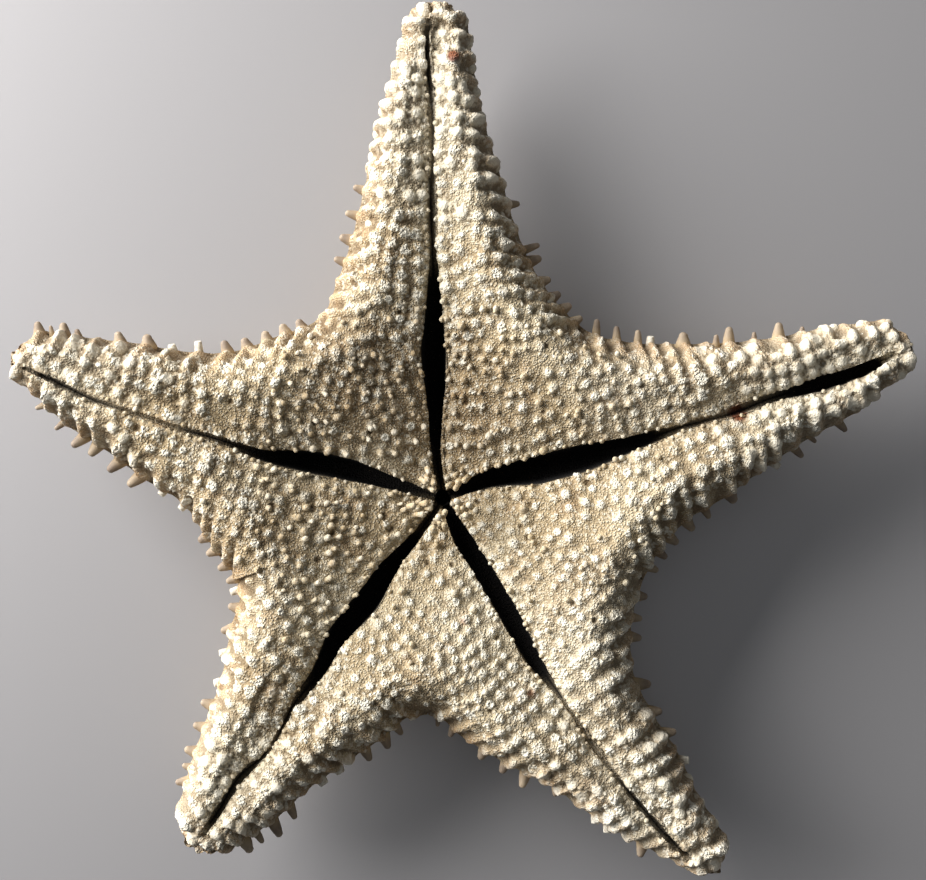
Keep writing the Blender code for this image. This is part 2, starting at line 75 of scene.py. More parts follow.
# Each arm, from the one at the top and on to the right. Left and right are as seen looking out
# along the arm. An offset is how far the groove lies to the left of the line to the tip.
ARMS = (
    dict(name="top", angle=91.4, reach=132.0,
         left=(27.3, 22.5, 18.9, 15.7, 11.8, 7.8), right=(27.4, 21.8, 18.2, 14.5, 12.0, 10.4),
         gap=(1.6, 2.1, 4.4, 5.9, 3.1, 0.9, 0.8, 0.6, 0.6, 1.2, 0.5),
         offset=(0.0, 1.3, 1.2, 1.4, 0.9, 0.8, 0.8, 0.3, 0.3, 1.0, 0.0)),
    dict(name="right", angle=17.4, reach=131.1,
         left=(26.3, 21.4, 17.5, 14.9, 13.4, 11.2), right=(26.7, 23.0, 18.5, 14.5, 11.7, 6.4),
         gap=(1.6, 3.9, 7.0, 6.4, 3.3, 0.8, 0.7, 1.6, 3.1, 3.3, 0.8),
         offset=(0.0, 1.3, -0.1, -0.8, -0.9, -0.7, -0.9, -0.3, -0.7, -0.3, 1.6)),
    dict(name="lower_right", angle=-54.2, reach=122.6,
         left=(23.5, 15.0, 12.5, 11.8, 9.6, 9.0), right=(33.8, 28.6, 22.1, 17.8, 12.6, 6.0),
         gap=(1.8, 4.5, 4.5, 4.4, 3.1, 0.6, 0.5, 0.6, 1.3, 1.6, 0.6),
         offset=(0.0, -1.9, -2.6, -3.7, -5.2, -5.1, -5.3, -5.2, -4.4, -3.4, 0.0)),
    dict(name="lower_left", angle=-125.4, reach=113.2,
         left=(29.7, 24.7, 20.2, 16.2, 13.7, 9.2), right=(33.4, 26.5, 21.1, 17.8, 14.6, 10.5),
         gap=(1.6, 1.9, 4.3, 6.0, 4.8, 2.4, 0.9, 0.6, 1.4, 1.7, 0.8),
         offset=(0.0, 0.0, -1.0, -0.7, -1.6, -0.3, -0.5, 0.8, -1.0, -0.5, 0.0)),
    dict(name="left", angle=162.5, reach=120.1,
         left=(32.6, 23.0, 19.6, 15.3, 11.8, 5.6), right=(30.0, 21.0, 17.2, 15.6, 13.2, 11.3),
         gap=(1.6, 2.5, 5.0, 5.2, 2.5, 1.2, 0.6, 0.6, 0.8, 1.3, 0.8),
         offset=(0.0, 0.1, 0.0, 1.1, 2.9, 2.4, 2.7, 2.6, 2.3, 0.7, 0.0)),
)
NOTCHES = ((126.0, 59.2), (51.0, 59.8), (-22.0, 58.8), (-94.0, 59.0), (201.5, 60.2))
NOTCH_CLEAR = 6.0

# Every half arm, as the arm's number and its side: 1 for the left, -1 for the right.
HALVES = [(index, side) for index in range(len(ARMS)) for side in (1, -1)]

GROOVE_DEPTH_PER_WIDTH = 2.6
GROOVE_DEPTH_MOST = 13.0
GROOVE_DEPTH_LEAST = 1.6
GROOVE_END = (0.92, 0.97)
WALL_FROM = 0.42
WALL_OVER = 0.54
MOUTH_RADIUS = 1.7
MOUTH_WALL_FROM = 0.5
MOUTH_WALL_OVER = 0.7
LIP_DROP = 0.8
LIP_WIDTH = 2.6
KEEL_HEIGHT = 1.4
KEEL_WIDTH = 5.0

# A groove is painted black inside, partly its own dark colour and partly painted shade, from DARK_FROM
# under its edge, over at most DARK_OVER, where it is wider than OPEN_FROM. CLOSED_BEYOND moves its
# edge away where it has closed at the tip.
OPEN_FROM = 0.42
DARK_FROM = 0.08
DARK_OVER = 0.6
CLOSED_BEYOND = 3.0

# How finely the skin is divided on the grooved side and on the back.
SKIN_STEP = 0.34
BACK_STEP = 0.95
MARGIN_STEPS = 160
FINE_STEPS = 3000
CROWD_TO_TIP = 1.6
DISC_RUN = 56.0
ARM_RUN = 92.0
RIM_DROP = 17.0

# The skin's relief lies on a map over the outline, with this many millimetres to a cell.
MAP_CELL = 0.14
MAP_HALF = (124.0, 120.0)

# The skin between the lumps lies this far under the solid's surface, above and on the back, and
# nothing comes nearer than SHY to the solid's height.
SKIN_SUNK = 0.9
BACK_SUNK = 0.5
LEAST_HEIGHT = 0.6
SHY = 0.02

# The lumps stand in wavy rows across the arms.
ROW_PITCH = 4.3
LUMP_PITCH = 3.9
DISC_PITCH_SHARE = 0.88
ROW_WARP = 1.1
LIP_CLEAR = 2.0
FIRST_ROW = 4.5
TIP_CLEAR = 2.0
LUMP_JITTER = 0.8
DISC_SHARE = 0.42
OUTER_SHARE = 0.86
GRAINS_ROUND = 7
TIP_LUMPS = (-5.4, -1.9, 1.9, 5.4)
MISSING_SHARE = 0.06
PIT_SHARE = 0.06
GRAIN_PITCH = 0.8
GRAIN_ROWS = 0.87
GRAIN_RADIUS = 0.42
PALE_GRAIN_RADIUS = 0.64
GRAIN_REACH = 138.0
PALE_GRAIN_SHARE = 0.2
FULL_TURN = 6.28

# How far under the crest the pegs of the jaws stand.
JAW_DROP = 4.9

# Red-brown stains, as distances right of and above the mouth, with their radius and strength.
STAINS = ((2.9, 116.4, 1.7, 1.0), (77.8, 22.8, 2.4, 0.9), (23.3, -50.8, 1.8, 0.5),
          (5.5, -32.2, 1.6, 0.4))

# Broad soft patches of the skin, placed in the same way: paler ones above 0, browner ones below. The
# browner ones lie where the disc and arms slope away from the key light and the paler ones where they
# face it, so they are partly the skin's own tone and partly painted shade and light.
TONE_LIGHT_AND_SHADE_PATCHES = ((-17.0, 30.0, 24.0, -1.0), (15.0, 20.0, 16.0, -0.7), (-42.0, -14.0, 22.0, -0.5),
           (-74.0, 14.0, 18.0, -0.4), (44.0, 26.0, 20.0, 0.6), (42.0, -36.0, 26.0, 0.6),
           (4.0, -36.0, 20.0, 0.3))
PALE_FROM = 50.0
PALE_OVER = 55.0

# How many lumps are coarse tubercles towards each tip, and how many are pegs or worn rings on the
# disc between two arms, in the order of the notches.
COARSE = {"top": 0.85, "right": 0.8, "lower_right": 0.35, "lower_left": 0.3, "left": 0.3}
PEG_SHARE = (0.75, 0.5, 0.22, 0.2, 0.8)
RING_SHARE = (0.12, 0.12, 0.2, 0.42, 0.1)

# The spines on the left and the right margin of each arm, from the notch to the tip. Each has its
# place as a fraction from the notch to the tip, its length out of the margin, its radius, its lean
# towards the tip in degrees, and whether it is broken off.
SPINES = {
    "top": (
        ((0.186, 2.6, 1.3, -1, 0), (0.255, 2.9, 1.6, 1, 0), (0.332, 3.1, 1.3, 0, 0),
         (0.413, 2.6, 1.3, 7, 0)),
        ((0.016, 1.8, 1.5, -16, 0), (0.054, 2.2, 1.6, -14, 0), (0.092, 2.0, 1.6, -10, 0),
         (0.14, 2.2, 1.5, -19, 0), (0.203, 3.0, 1.6, -9, 0), (0.24, 4.0, 1.1, -5, 0),
         (0.379, 2.7, 1.2, -12, 0)),
    ),
    "right": (
        ((0.034, 4.1, 1.1, -20, 0), (0.094, 3.4, 1.1, -10, 0), (0.157, 3.3, 1.1, -5, 0),
         (0.196, 1.8, 1.2, 0, 1), (0.299, 2.8, 1.9, -1, 0), (0.402, 2.0, 0.9, 2, 0),
         (0.442, 4.0, 1.5, 4, 0), (0.523, 1.9, 0.8, 6, 0), (0.602, 3.6, 1.6, 9, 0),
         (0.679, 1.2, 0.9, 15, 0)),
        ((0.029, 2.2, 1.3, 2, 0), (0.069, 2.4, 1.3, -3, 0), (0.116, 2.4, 1.6, 5, 0),
         (0.179, 2.9, 1.6, -2, 0), (0.244, 2.4, 1.2, -2, 0), (0.333, 2.4, 2.0, -8, 0),
         (0.492, 1.8, 1.2, 19, 1), (0.567, 3.0, 1.2, 8, 0), (0.626, 1.5, 0.8, 14, 0),
         (0.721, 2.7, 1.2, 11, 0)),
    ),
    "lower_right": (
        ((0.035, 2.2, 1.5, -14, 0), (0.088, 2.2, 1.3, -3, 0), (0.141, 2.6, 1.5, 4, 0),
         (0.295, 3.4, 1.7, 20, 0), (0.407, 2.4, 1.6, 25, 0), (0.498, 2.6, 1.5, 25, 0),
         (0.614, 1.6, 1.3, 25, 1)),
        ((0.029, 1.9, 0.8, 16, 0), (0.089, 1.8, 1.1, 20, 0), (0.212, 2.2, 1.6, 3, 0),
         (0.292, 2.4, 1.5, 1, 0), (0.36, 3.6, 1.5, 10, 0), (0.467, 1.4, 1.1, 25, 0),
         (0.625, 1.2, 1.3, 25, 1), (0.671, 1.6, 1.3, 25, 1), (0.794, 2.7, 1.5, 14, 0)),
    ),
    "lower_left": (
        ((0.11, 2.4, 1.2, 10, 0), (0.18, 2.8, 1.5, 15, 0), (0.269, 2.9, 1.5, 7, 0),
         (0.398, 1.2, 1.6, 3, 1), (0.478, 1.2, 1.6, 0, 1), (0.647, 3.3, 1.3, 20, 0),
         (0.74, 4.2, 1.6, 8, 0), (0.817, 2.9, 1.1, -3, 0), (0.872, 3.4, 1.8, 2, 0)),
        ((0.027, 2.1, 1.2, 7, 1), (0.09, 2.3, 1.5, 1, 0), (0.187, 2.0, 1.5, 16, 0),
         (0.274, 1.6, 1.2, 17, 1), (0.394, 1.2, 1.3, 25, 1), (0.488, 2.7, 1.6, 1, 0),
         (0.585, 2.5, 1.5, 3, 0), (0.69, 2.4, 1.6, 1, 0), (0.755, 1.6, 1.1, -2, 0),
         (0.817, 2.2, 1.3, 20, 0)),
    ),
    "left": (
        ((0.003, 2.2, 1.3, 18, 0), (0.048, 2.2, 1.5, 17, 0), (0.106, 2.0, 1.5, 9, 0),
         (0.151, 1.9, 1.6, 2, 0), (0.26, 1.2, 1.2, -8, 1), (0.345, 1.2, 1.3, 4, 1),
         (0.444, 3.8, 1.7, 15, 0), (0.529, 3.9, 1.7, 13, 0), (0.622, 3.2, 1.7, 4, 0),
         (0.679, 3.8, 1.6, 20, 0), (0.765, 2.6, 0.9, 10, 0), (0.85, 2.3, 0.9, 20, 0)),
        ((0.035, 2.2, 1.6, 7, 0), (0.088, 2.2, 1.7, 2, 0), (0.144, 2.2, 1.7, -7, 0),
         (0.205, 2.4, 1.7, 5, 0), (0.269, 3.0, 1.6, 13, 0), (0.367, 3.0, 1.2, 8, 1),
         (0.463, 1.2, 1.3, 20, 1), (0.553, 2.6, 2.0, 20, 0), (0.656, 2.3, 1.6, 20, 0),
         (0.806, 1.6, 1.1, 20, 0), (0.855, 2.8, 1.6, 15, 0), (0.902, 1.4, 0.7, 16, 0),
         (0.946, 2.4, 1.5, -7, 0)),
    ),
}
SPINE_TILT = 12.0
SPINE_ROOT = 1.6

# The swollen ridges that the spines grow from, and the furrows between them.
RIDGE_REACH = 8.0
RIDGE_HEIGHT = 0.95
RIDGE_GAP = 7.5
FURROW_REACH = 7.0
FURROW_DEPTH = 0.75
WARM_REACH = 4.5

# The knobs on the left and the right margin of each arm: the first and the last place, as for the
# spines, and how many there are.
NO_KNOBS = (0.0, 0.0, 0)
KNOB_ROWS = {
    "top": ((0.52, 0.95, 7), (0.50, 0.95, 7)),
    "right": ((0.78, 0.96, 3), (0.82, 0.95, 2)),
    "lower_right": ((0.68, 0.95, 4), NO_KNOBS),
    "lower_left": (NO_KNOBS, NO_KNOBS),
    "left": (NO_KNOBS, NO_KNOBS),
}
KNOB_RADIUS = 2.3

FOOT_RING = 37.0
FOOT_RADIUS = 4.6
FOOT_FLAT = 3.0
KEEL_KNOBS = ((50.0, 3.4), (61.0, 3.2), (71.0, 2.9), (80.0, 2.7), (89.0, 2.4), (97.0, 2.1))
BACK_KNOBS = ((26.0, 3.0),)

# How many sides each kind of turned lump has, and how far out the pegs along a groove go.
SPINE_SIDES = 16
KNOB_SIDES = 20
FOOT_SIDES = 28
PEG_SIDES = 10
JAW_SIDES = 14
PEG_REACH = 0.88


# Shape of the body

def smooth_line(at, places, values, first_slope=None):
    """A smooth curve through the given values."""
    at = np.asarray(at, dtype=float)
    places = np.asarray(places, dtype=float)
    values = np.asarray(values, dtype=float)
    slopes = np.gradient(values, places)
    if first_slope is not None:
        slopes[0] = first_slope
    span = np.clip(np.searchsorted(places, at, side="right") - 1, 0, len(places) - 2)
    width = places[span + 1] - places[span]
    part = np.clip((at - places[span]) / width, 0.0, 1.0)
    start = values[span] * (1 + 2 * part) * (1 - part) ** 2
    end = values[span + 1] * part ** 2 * (3 - 2 * part)
    lean = slopes[span] * part * (1 - part) ** 2 - slopes[span + 1] * part ** 2 * (1 - part)
    return start + end + lean * width


def along(arm):
    """The arm's direction, out from the mouth."""
    turn = math.radians(arm["angle"])
    return np.array((math.cos(turn), math.sin(turn)))


def leftward(arm):
    """The direction to the arm's left."""
    turn = math.radians(arm["angle"])
    return np.array((-math.sin(turn), math.cos(turn)))


def spot_on(arm, out, across):
    """The point at a distance out along an arm and another across to its left."""
    return MOUTH + along(arm) * out + leftward(arm) * across


def in_arm(points, arm):
    """How far points lie out along an arm and across to its left."""
    return (points - MOUTH) @ along(arm), (points - MOUTH) @ leftward(arm)


def own_row(table, index, side):
    """The row of a table that is for one side of an arm."""
    return table[ARMS[index]["name"]][0 if side > 0 else 1]


def notch_of(index, side):
    """The notch beside an arm: its direction and its distance from the mouth."""
    return NOTCHES[index] if side > 0 else NOTCHES[(index + 1) % len(ARMS)]


def notch_angle(index, side):
    """The angle from an arm's line to its notch, without a sign."""
    turn = (notch_of(index, side)[0] - ARMS[index]["angle"] + 180.0) % 360.0 - 180.0
    return math.radians(abs(turn))


def margin(index, side, part):
    """Points on an arm's margin, part running from 0 at the notch to 1 at the tip."""
    arm = ARMS[index]
    turn = notch_angle(index, side)
    reach = arm["reach"]
    notch = notch_of(index, side)[1]
    widths = arm["left"] if side > 0 else arm["right"]
    places = [notch * math.cos(turn)]
    sizes = [notch * math.sin(turn)]
    for fraction, size in zip(WIDTH_AT, widths):
        if fraction * reach > places[-1] + NOTCH_CLEAR:
            places.append(fraction * reach)
            sizes.append(size)
    out = places[0] + (reach - places[0]) * np.asarray(part, dtype=float)
    last = places[-1]
    width = smooth_line(np.minimum(out, last), places, sizes, -1.0 / math.tan(turn))
    end = np.clip((out - last) / (reach - last), 0.0, 1.0)
    width = width * np.sqrt(1.0 - end ** 2)
    return MOUTH + np.outer(out, along(arm)) + side * np.outer(width, leftward(arm))


def groove_line(arm, out):
    """Half the groove's width and its offset, at distances out along the arm."""
    places = np.array(GROOVE_AT) * arm["reach"]
    half = 0.5 * np.interp(out, places, arm["gap"])
    offset = smooth_line(np.clip(out, 0.0, arm["reach"]), places, arm["offset"])
    return half, offset


def groove_at(arm, out):
    """Half the groove's width and its offset, at one distance."""
    half, offset = groove_line(arm, out)
    return float(half), float(offset)


def ease(value):
    """A smooth step from 0 to 1."""
    value = np.clip(value, 0.0, 1.0)
    return value * value * (3.0 - 2.0 * value)


def quarter_round(part):
    """The rise of a quarter of an ellipse."""
    return np.sqrt(np.clip(1.0 - (1.0 - np.clip(part, 0.0, 1.0)) ** 2, 0.0, 1.0))


def from_mouth(points):
    """How far points lie from the mouth."""
    return np.hypot(points[:, 0] - MOUTH[0], points[:, 1] - MOUTH[1])


def groove_parts(points):
    """How far the grooves sink, how far points lie outside them, and how deep inside, up to 1."""
    centre = from_mouth(points)
    sink = GROOVE_DEPTH_MOST * (1.0 - ease((centre / MOUTH_RADIUS - MOUTH_WALL_FROM) / MOUTH_WALL_OVER))
    clear = centre - MOUTH_RADIUS
    inside = ease(-clear / DARK_OVER)
    for arm in ARMS:
        out, across = in_arm(points, arm)
        half, offset = groove_line(arm, out)
        gap = np.hypot(np.minimum(out, 0.0), across - offset)
        depth = np.clip(2 * half * GROOVE_DEPTH_PER_WIDTH, GROOVE_DEPTH_LEAST, GROOVE_DEPTH_MOST)
        share = out / arm["reach"]
        closed = ease((share - GROOVE_END[0]) / (GROOVE_END[1] - GROOVE_END[0]))
        wall = depth * (1.0 - ease((gap / half - WALL_FROM) / WALL_OVER)) * (1.0 - closed)
        lip = LIP_DROP * np.exp(-np.maximum(gap - half, 0.0) / LIP_WIDTH)
        sink = np.maximum(sink, wall + lip * (1.0 - ease(share * 4 - 3)))
        beyond = gap - half + CLOSED_BEYOND * closed
        clear = np.minimum(clear, beyond)
        open_share = ease((2 * half - OPEN_FROM) / OPEN_FROM)
        # How black the groove is painted inside: partly its own dark colour, partly painted shade.
        dark = ease((-beyond - DARK_FROM) / np.minimum(0.8 * half, DARK_OVER)) * open_share
        inside = np.maximum(inside, dark)
    return sink, clear, inside


def keel(points):
    """How far the keels stand down from the back."""
    height = np.zeros(len(points))
    for arm in ARMS:
        out, across = in_arm(points, arm)
        ridge = np.exp(-(across / KEEL_WIDTH) ** 2) * ease(out / 25.0 - 0.4)
        height = np.maximum(height, KEEL_HEIGHT * ridge)
    return height


def by_ring(points, *rows):
    """What each row of values at RINGS says for points."""
    centre = from_mouth(points)
    return [smooth_line(centre, RINGS, row) for row in rows]


def upper_height(points, edge):
    """The height of the grooved side."""
    crest, rim, rise = by_ring(points, CREST_HEIGHT, RIM_HEIGHT, LOBE_RISE)
    height = rim + (crest - rim) * quarter_round(edge / rise)
    height = height - INNER_SLOPE * np.maximum(edge - rise, 0.0)
    return height - groove_parts(points)[0] * ease(edge / 3.0)


def lower_height(points, edge):
    """The height of the domed back."""
    back, rim, rise = by_ring(points, BACK_HEIGHT, RIM_HEIGHT, BACK_RISE)
    height = rim - (rim - back) * quarter_round(edge / rise)
    return height - keel(points) * ease(edge / 6.0)


def rim_height(point):
    """The height of the rim at a point."""
    return float(by_ring(np.array([point]), RIM_HEIGHT)[0][0])


class Edge:
    """The whole outline, for measuring how far inside it a point lies."""

    def __init__(self):
        corners = []
        strips = []
        for index, side in HALVES:
            points = margin(index, side, even_parts(index, side, MARGIN_STEPS))
            first = len(corners)
            for x, y in points:
                corners += [(x, y, -1.0), (x, y, 1.0)]
            for step in range(len(points) - 1):
                near = first + 2 * step
                strips.append((near, near + 1, near + 3, near + 2))
        self.tree = BVHTree.FromPolygons(corners, strips)

    def distance(self, points):
        """How far each point lies inside the outline."""
        find = self.tree.find_nearest
        return np.array([find((x, y, 0.0))[3] for x, y in points])


def margin_length(index, side, parts):
    """How far parts of a margin lie along it."""
    run = np.hypot(*np.diff(margin(index, side, parts), axis=0).T)
    return np.concatenate(([0.0], np.cumsum(run)))


def even_parts(index, side, count):
    """Parts of a margin whose steps are about even, both along the margin and along the arm."""
    fine = 1.0 - (1.0 - np.linspace(0.0, 1.0, FINE_STEPS)) ** CROWD_TO_TIP
    length = margin_length(index, side, fine)
    return np.interp(np.linspace(0.0, length[-1], count + 1), length, fine)


# Relief of the skin

class Relief:
    """A map over the outline that round features are laid on."""

    def __init__(self):
        self.size = [int(2 * half / MAP_CELL) for half in MAP_HALF]
        shape = (self.size[1], self.size[0])
        self.height = np.zeros(shape, dtype=np.float32)
        self.white = np.zeros(shape, dtype=np.float32)
        self.smooth = np.zeros(shape, dtype=np.float32)

    def window(self, x, y, radius):
        """The part of the map that a round feature covers, and how far out each cell of it lies."""
        column = (x + MAP_HALF[0]) / MAP_CELL
        row = (y + MAP_HALF[1]) / MAP_CELL
        reach = radius / MAP_CELL
        left = max(int(column - reach), 0)
        low = max(int(row - reach), 0)
        right = min(int(column + reach) + 2, self.size[0])
        high = min(int(row + reach) + 2, self.size[1])
        across = (np.arange(left, right) - column) / reach
        up = (np.arange(low, high) - row) / reach
        return (slice(low, high), slice(left, right)), across[None, :] ** 2 + up[:, None] ** 2

    def whiten(self, part, white, shape):
        """Make the tops of a feature whiter."""
        self.white[part] = np.maximum(self.white[part], white * np.clip(shape * 1.6, 0.0, 1.0))

    def mound(self, x, y, radius, height):
        """A low soft rise."""
        part, away = self.window(x, y, radius)
        self.height[part] += height * np.clip(1.0 - away, 0.0, 1.0) ** 2

    def dome(self, x, y, radius, height, white):
        """A round tubercle."""
        part, away = self.window(x, y, radius)
        shape = np.clip(1.0 - away, 0.0, 1.0)
        self.height[part] = np.maximum(self.height[part], height * np.sqrt(shape))
        if height > 0.0:
            self.smooth[part] = np.maximum(self.smooth[part], np.clip(shape * 1.5, 0.0, 1.0))
        self.whiten(part, white, shape)

    def granule(self, x, y, radius, height, white):
        """A grain with a flat worn top."""
        part, away = self.window(x, y, radius)
        shape = np.clip((1.0 - away) * 2.0, 0.0, 1.0)
        self.height[part] += height * shape
        self.whiten(part, white, shape)

    def ring(self, x, y, radius, height, white):
        """A worn stump with a sunk middle."""
        part, away = self.window(x, y, radius)
        shape = np.clip((1.0 - away) * 3.0, 0.0, 1.0)
        self.height[part] += height * shape * (0.35 + 0.65 * np.clip(away * 2.4, 0.0, 1.0))
        self.whiten(part, white, shape)

    def read(self, layer, points):
        """The value of a layer at points."""
        column = np.clip((points[:, 0] + MAP_HALF[0]) / MAP_CELL, 0, self.size[0] - 2)
        row = np.clip((points[:, 1] + MAP_HALF[1]) / MAP_CELL, 0, self.size[1] - 2)
        left = column.astype(int)
        low = row.astype(int)
        over = column - left
        up = row - low
        near = layer[low, left] * (1 - over) + layer[low, left + 1] * over
        far = layer[low + 1, left] * (1 - over) + layer[low + 1, left + 1] * over
        return near * (1 - up) + far * up


def soften(layer, cells, times=3):
    """A map smoothed by running means."""
    for _ in range(times):
        for axis in (0, 1):
            total = np.cumsum(layer, axis=axis, dtype=np.float64)
            ahead = np.roll(total, -cells, axis=axis)
            behind = np.roll(total, cells + 1, axis=axis)
            layer = ((ahead - behind) / (2 * cells + 1)).astype(np.float32)
    return layer


def cloud(relief, lump, seed):
    """A map of soft random lumps, each about as wide as given, with a spread of about one."""
    chance = np.random.default_rng(seed)
    coarse = chance.standard_normal(relief.height.shape).astype(np.float32)
    cells = max(int(lump / MAP_CELL / 3.0), 1)
    layer = soften(coarse, cells)
    edge = 4 * cells
    middle = layer[edge:-edge, edge:-edge]
    return np.clip((layer - middle.mean()) / middle.std(), -2.5, 2.5)


class Lump:
    """One feature of the skin: what it is, where it stands and how far out its arm."""

    def __init__(self, spot, out, across, arm, sector, chance):
        self.x, self.y = spot
        self.out = out
        self.across = across
        self.size = chance.uniform(0.78, 1.22)
        self.bright = chance.uniform(0.25, 1.0) + 0.25 * float(ease((out - 0.3) / 0.2))
        self.height = chance.uniform(0.4, 1.2)
        coarse = COARSE[ARMS[arm]["name"]]
        inner = 1.0 - ease((out - 0.30) / 0.22)
        draw = chance.random()
        if draw < coarse * ease((out - 0.5) / 0.25):
            self.kind = "tubercle"
        elif draw < PEG_SHARE[sector] * inner:
            self.kind = "peg"
        elif chance.random() < RING_SHARE[sector] * (0.5 + 0.5 * inner):
            self.kind = "ring"
        elif across > OUTER_SHARE and out > DISC_SHARE:
            self.kind = "mound"
        else:
            self.kind = "rosette"

    def beside(self, angle, away):
        """The point at a distance from the lump."""
        return self.x + away * math.cos(angle), self.y + away * math.sin(angle)


def lumps_on(index, side, relief, warp, chance):
    """The lumps of half an arm: wavy rows from the groove to the outer side."""
    arm = ARMS[index]
    turn = notch_angle(index, side)
    start = notch_of(index, side)[1] * math.cos(turn)
    sector = index if side > 0 else (index + 1) % len(ARMS)
    found = []
    out = FIRST_ROW
    while out < arm["reach"] - TIP_CLEAR:
        half, offset = groove_at(arm, out)
        if out < start:
            end = out * math.tan(turn)
        else:
            point = margin(index, side, [(out - start) / (arm["reach"] - start)])[0]
            end = abs((point - MOUTH) @ leftward(arm)) - 0.8
        crowded = 1.0 if out > DISC_SHARE * arm["reach"] else DISC_PITCH_SHARE
        across = side * offset + half + LIP_CLEAR + chance.uniform(0.0, 0.8)
        while across < end:
            jitter = chance.uniform(-LUMP_JITTER, LUMP_JITTER)
            spot = spot_on(arm, out + jitter, side * across)
            shift = [float(relief.read(layer, np.array([spot]))[0]) for layer in warp]
            spot = spot + np.array(shift) * ROW_WARP
            if chance.random() > MISSING_SHARE:
                share = across / max(end, 1.0)
                found.append(Lump(spot, out / arm["reach"], share, index, sector, chance))
            across += LUMP_PITCH * crowded * chance.uniform(0.84, 1.19)
        out += ROW_PITCH * crowded * chance.uniform(0.93, 1.07)
    return found


def find_lumps(relief):
    """Every lump of the grooved side."""
    chance = random.Random(11)
    warp = [cloud(relief, 14.0, seed) for seed in (3, 4)]
    lumps = []
    for index in range(len(ARMS)):
        for side in (1, -1):
            lumps += lumps_on(index, side, relief, warp, chance)
        arm = ARMS[index]
        for across in TIP_LUMPS:
            spot = spot_on(arm, arm["reach"] - 2.4 - 0.1 * across ** 2, across)
            lumps.append(Lump(spot, 1.0, 0.6, index, index, chance))
    return lumps


def lay_tubercle(relief, lump, chance):
    """A coarse round lump, larger towards the margin, with small grains round it."""
    size = math.sqrt(lump.size) * (0.85 + 0.28 * lump.across)
    relief.mound(lump.x, lump.y, 2.8 * size, 0.4)
    relief.dome(lump.x, lump.y, 3.0 * size, 0.0, 0.2)
    spin = chance.uniform(0.0, FULL_TURN)
    for number in range(GRAINS_ROUND):
        angle = spin + (number + chance.uniform(-0.3, 0.3)) * 2 * math.pi / GRAINS_ROUND
        x, y = lump.beside(angle, 2.2 * size)
        small = chance.uniform(0.45, 0.75)
        relief.dome(x, y, small, 0.8 * small, 0.3)
    relief.dome(lump.x, lump.y, 1.85 * size, 1.4 * size, 0.2 + 0.25 * lump.bright)


def lay_rosette(relief, lump, chance):
    """A rise with pale granules round one in the middle, larger on the arms."""
    size = lump.size * (0.8 + 0.25 * float(ease((lump.out - 0.3) / 0.25)))
    relief.mound(lump.x, lump.y, 2.7 * size, lump.height * size)
    count = chance.randint(5, 8)
    spin = chance.uniform(0.0, FULL_TURN)
    for number in range(count):
        if chance.random() < 0.1:
            continue
        angle = spin + (number + chance.uniform(-0.2, 0.2)) * 2 * math.pi / count
        x, y = lump.beside(angle, chance.uniform(0.85, 1.2) * size)
        bright = lump.bright * chance.uniform(0.5, 1.0)
        radius = chance.uniform(0.4, 0.56) * size
        relief.granule(x, y, radius, chance.uniform(0.25, 0.5), bright)
    relief.granule(lump.x, lump.y, 0.55 * size, chance.uniform(0.25, 0.5), lump.bright)


def lay_lumps(relief, lumps):
    """Lay every lump on the map. A peg has only the rise that it stands on there."""
    chance = random.Random(12)
    for lump in lumps:
        if lump.kind == "tubercle":
            lay_tubercle(relief, lump, chance)
        elif lump.kind == "ring":
            relief.mound(lump.x, lump.y, 2.2 * lump.size, 0.3)
            relief.ring(lump.x, lump.y, 1.0 * lump.size, 0.5, 0.6 + 0.4 * lump.bright)
        elif lump.kind == "mound":
            relief.mound(lump.x, lump.y, 2.2 * lump.size, 1.1 * lump.height)
        elif lump.kind == "peg":
            relief.mound(lump.x, lump.y, 2.3 * lump.size, 0.9 * lump.height)
        else:
            lay_rosette(relief, lump, chance)


def lay_lips(relief):
    """Round grains in a row along both edges of each groove."""
    chance = random.Random(15)
    for index, side in HALVES:
        arm = ARMS[index]
        out = 9.0
        while out < arm["reach"] - 3.0:
            half, offset = groove_at(arm, out)
            size = chance.uniform(0.6, 1.0)
            across = side * offset + half + 0.5 + 0.7 * size
            x, y = spot_on(arm, out, side * across)
            if out > 0.4 * arm["reach"] or chance.random() < 0.4:
                relief.dome(x, y, size, 0.6 * size, chance.uniform(0.0, 0.3))
            out += size * chance.uniform(1.7, 2.8)


def lay_pits(relief, lumps):
    """Small hollows beside some of the lumps of the disc."""
    chance = random.Random(14)
    for lump in lumps:
        if chance.random() < PIT_SHARE:
            x, y = lump.beside(chance.uniform(0.0, FULL_TURN), 1.9)
            relief.mound(x, y, chance.uniform(0.9, 1.4), -chance.uniform(0.5, 1.0))


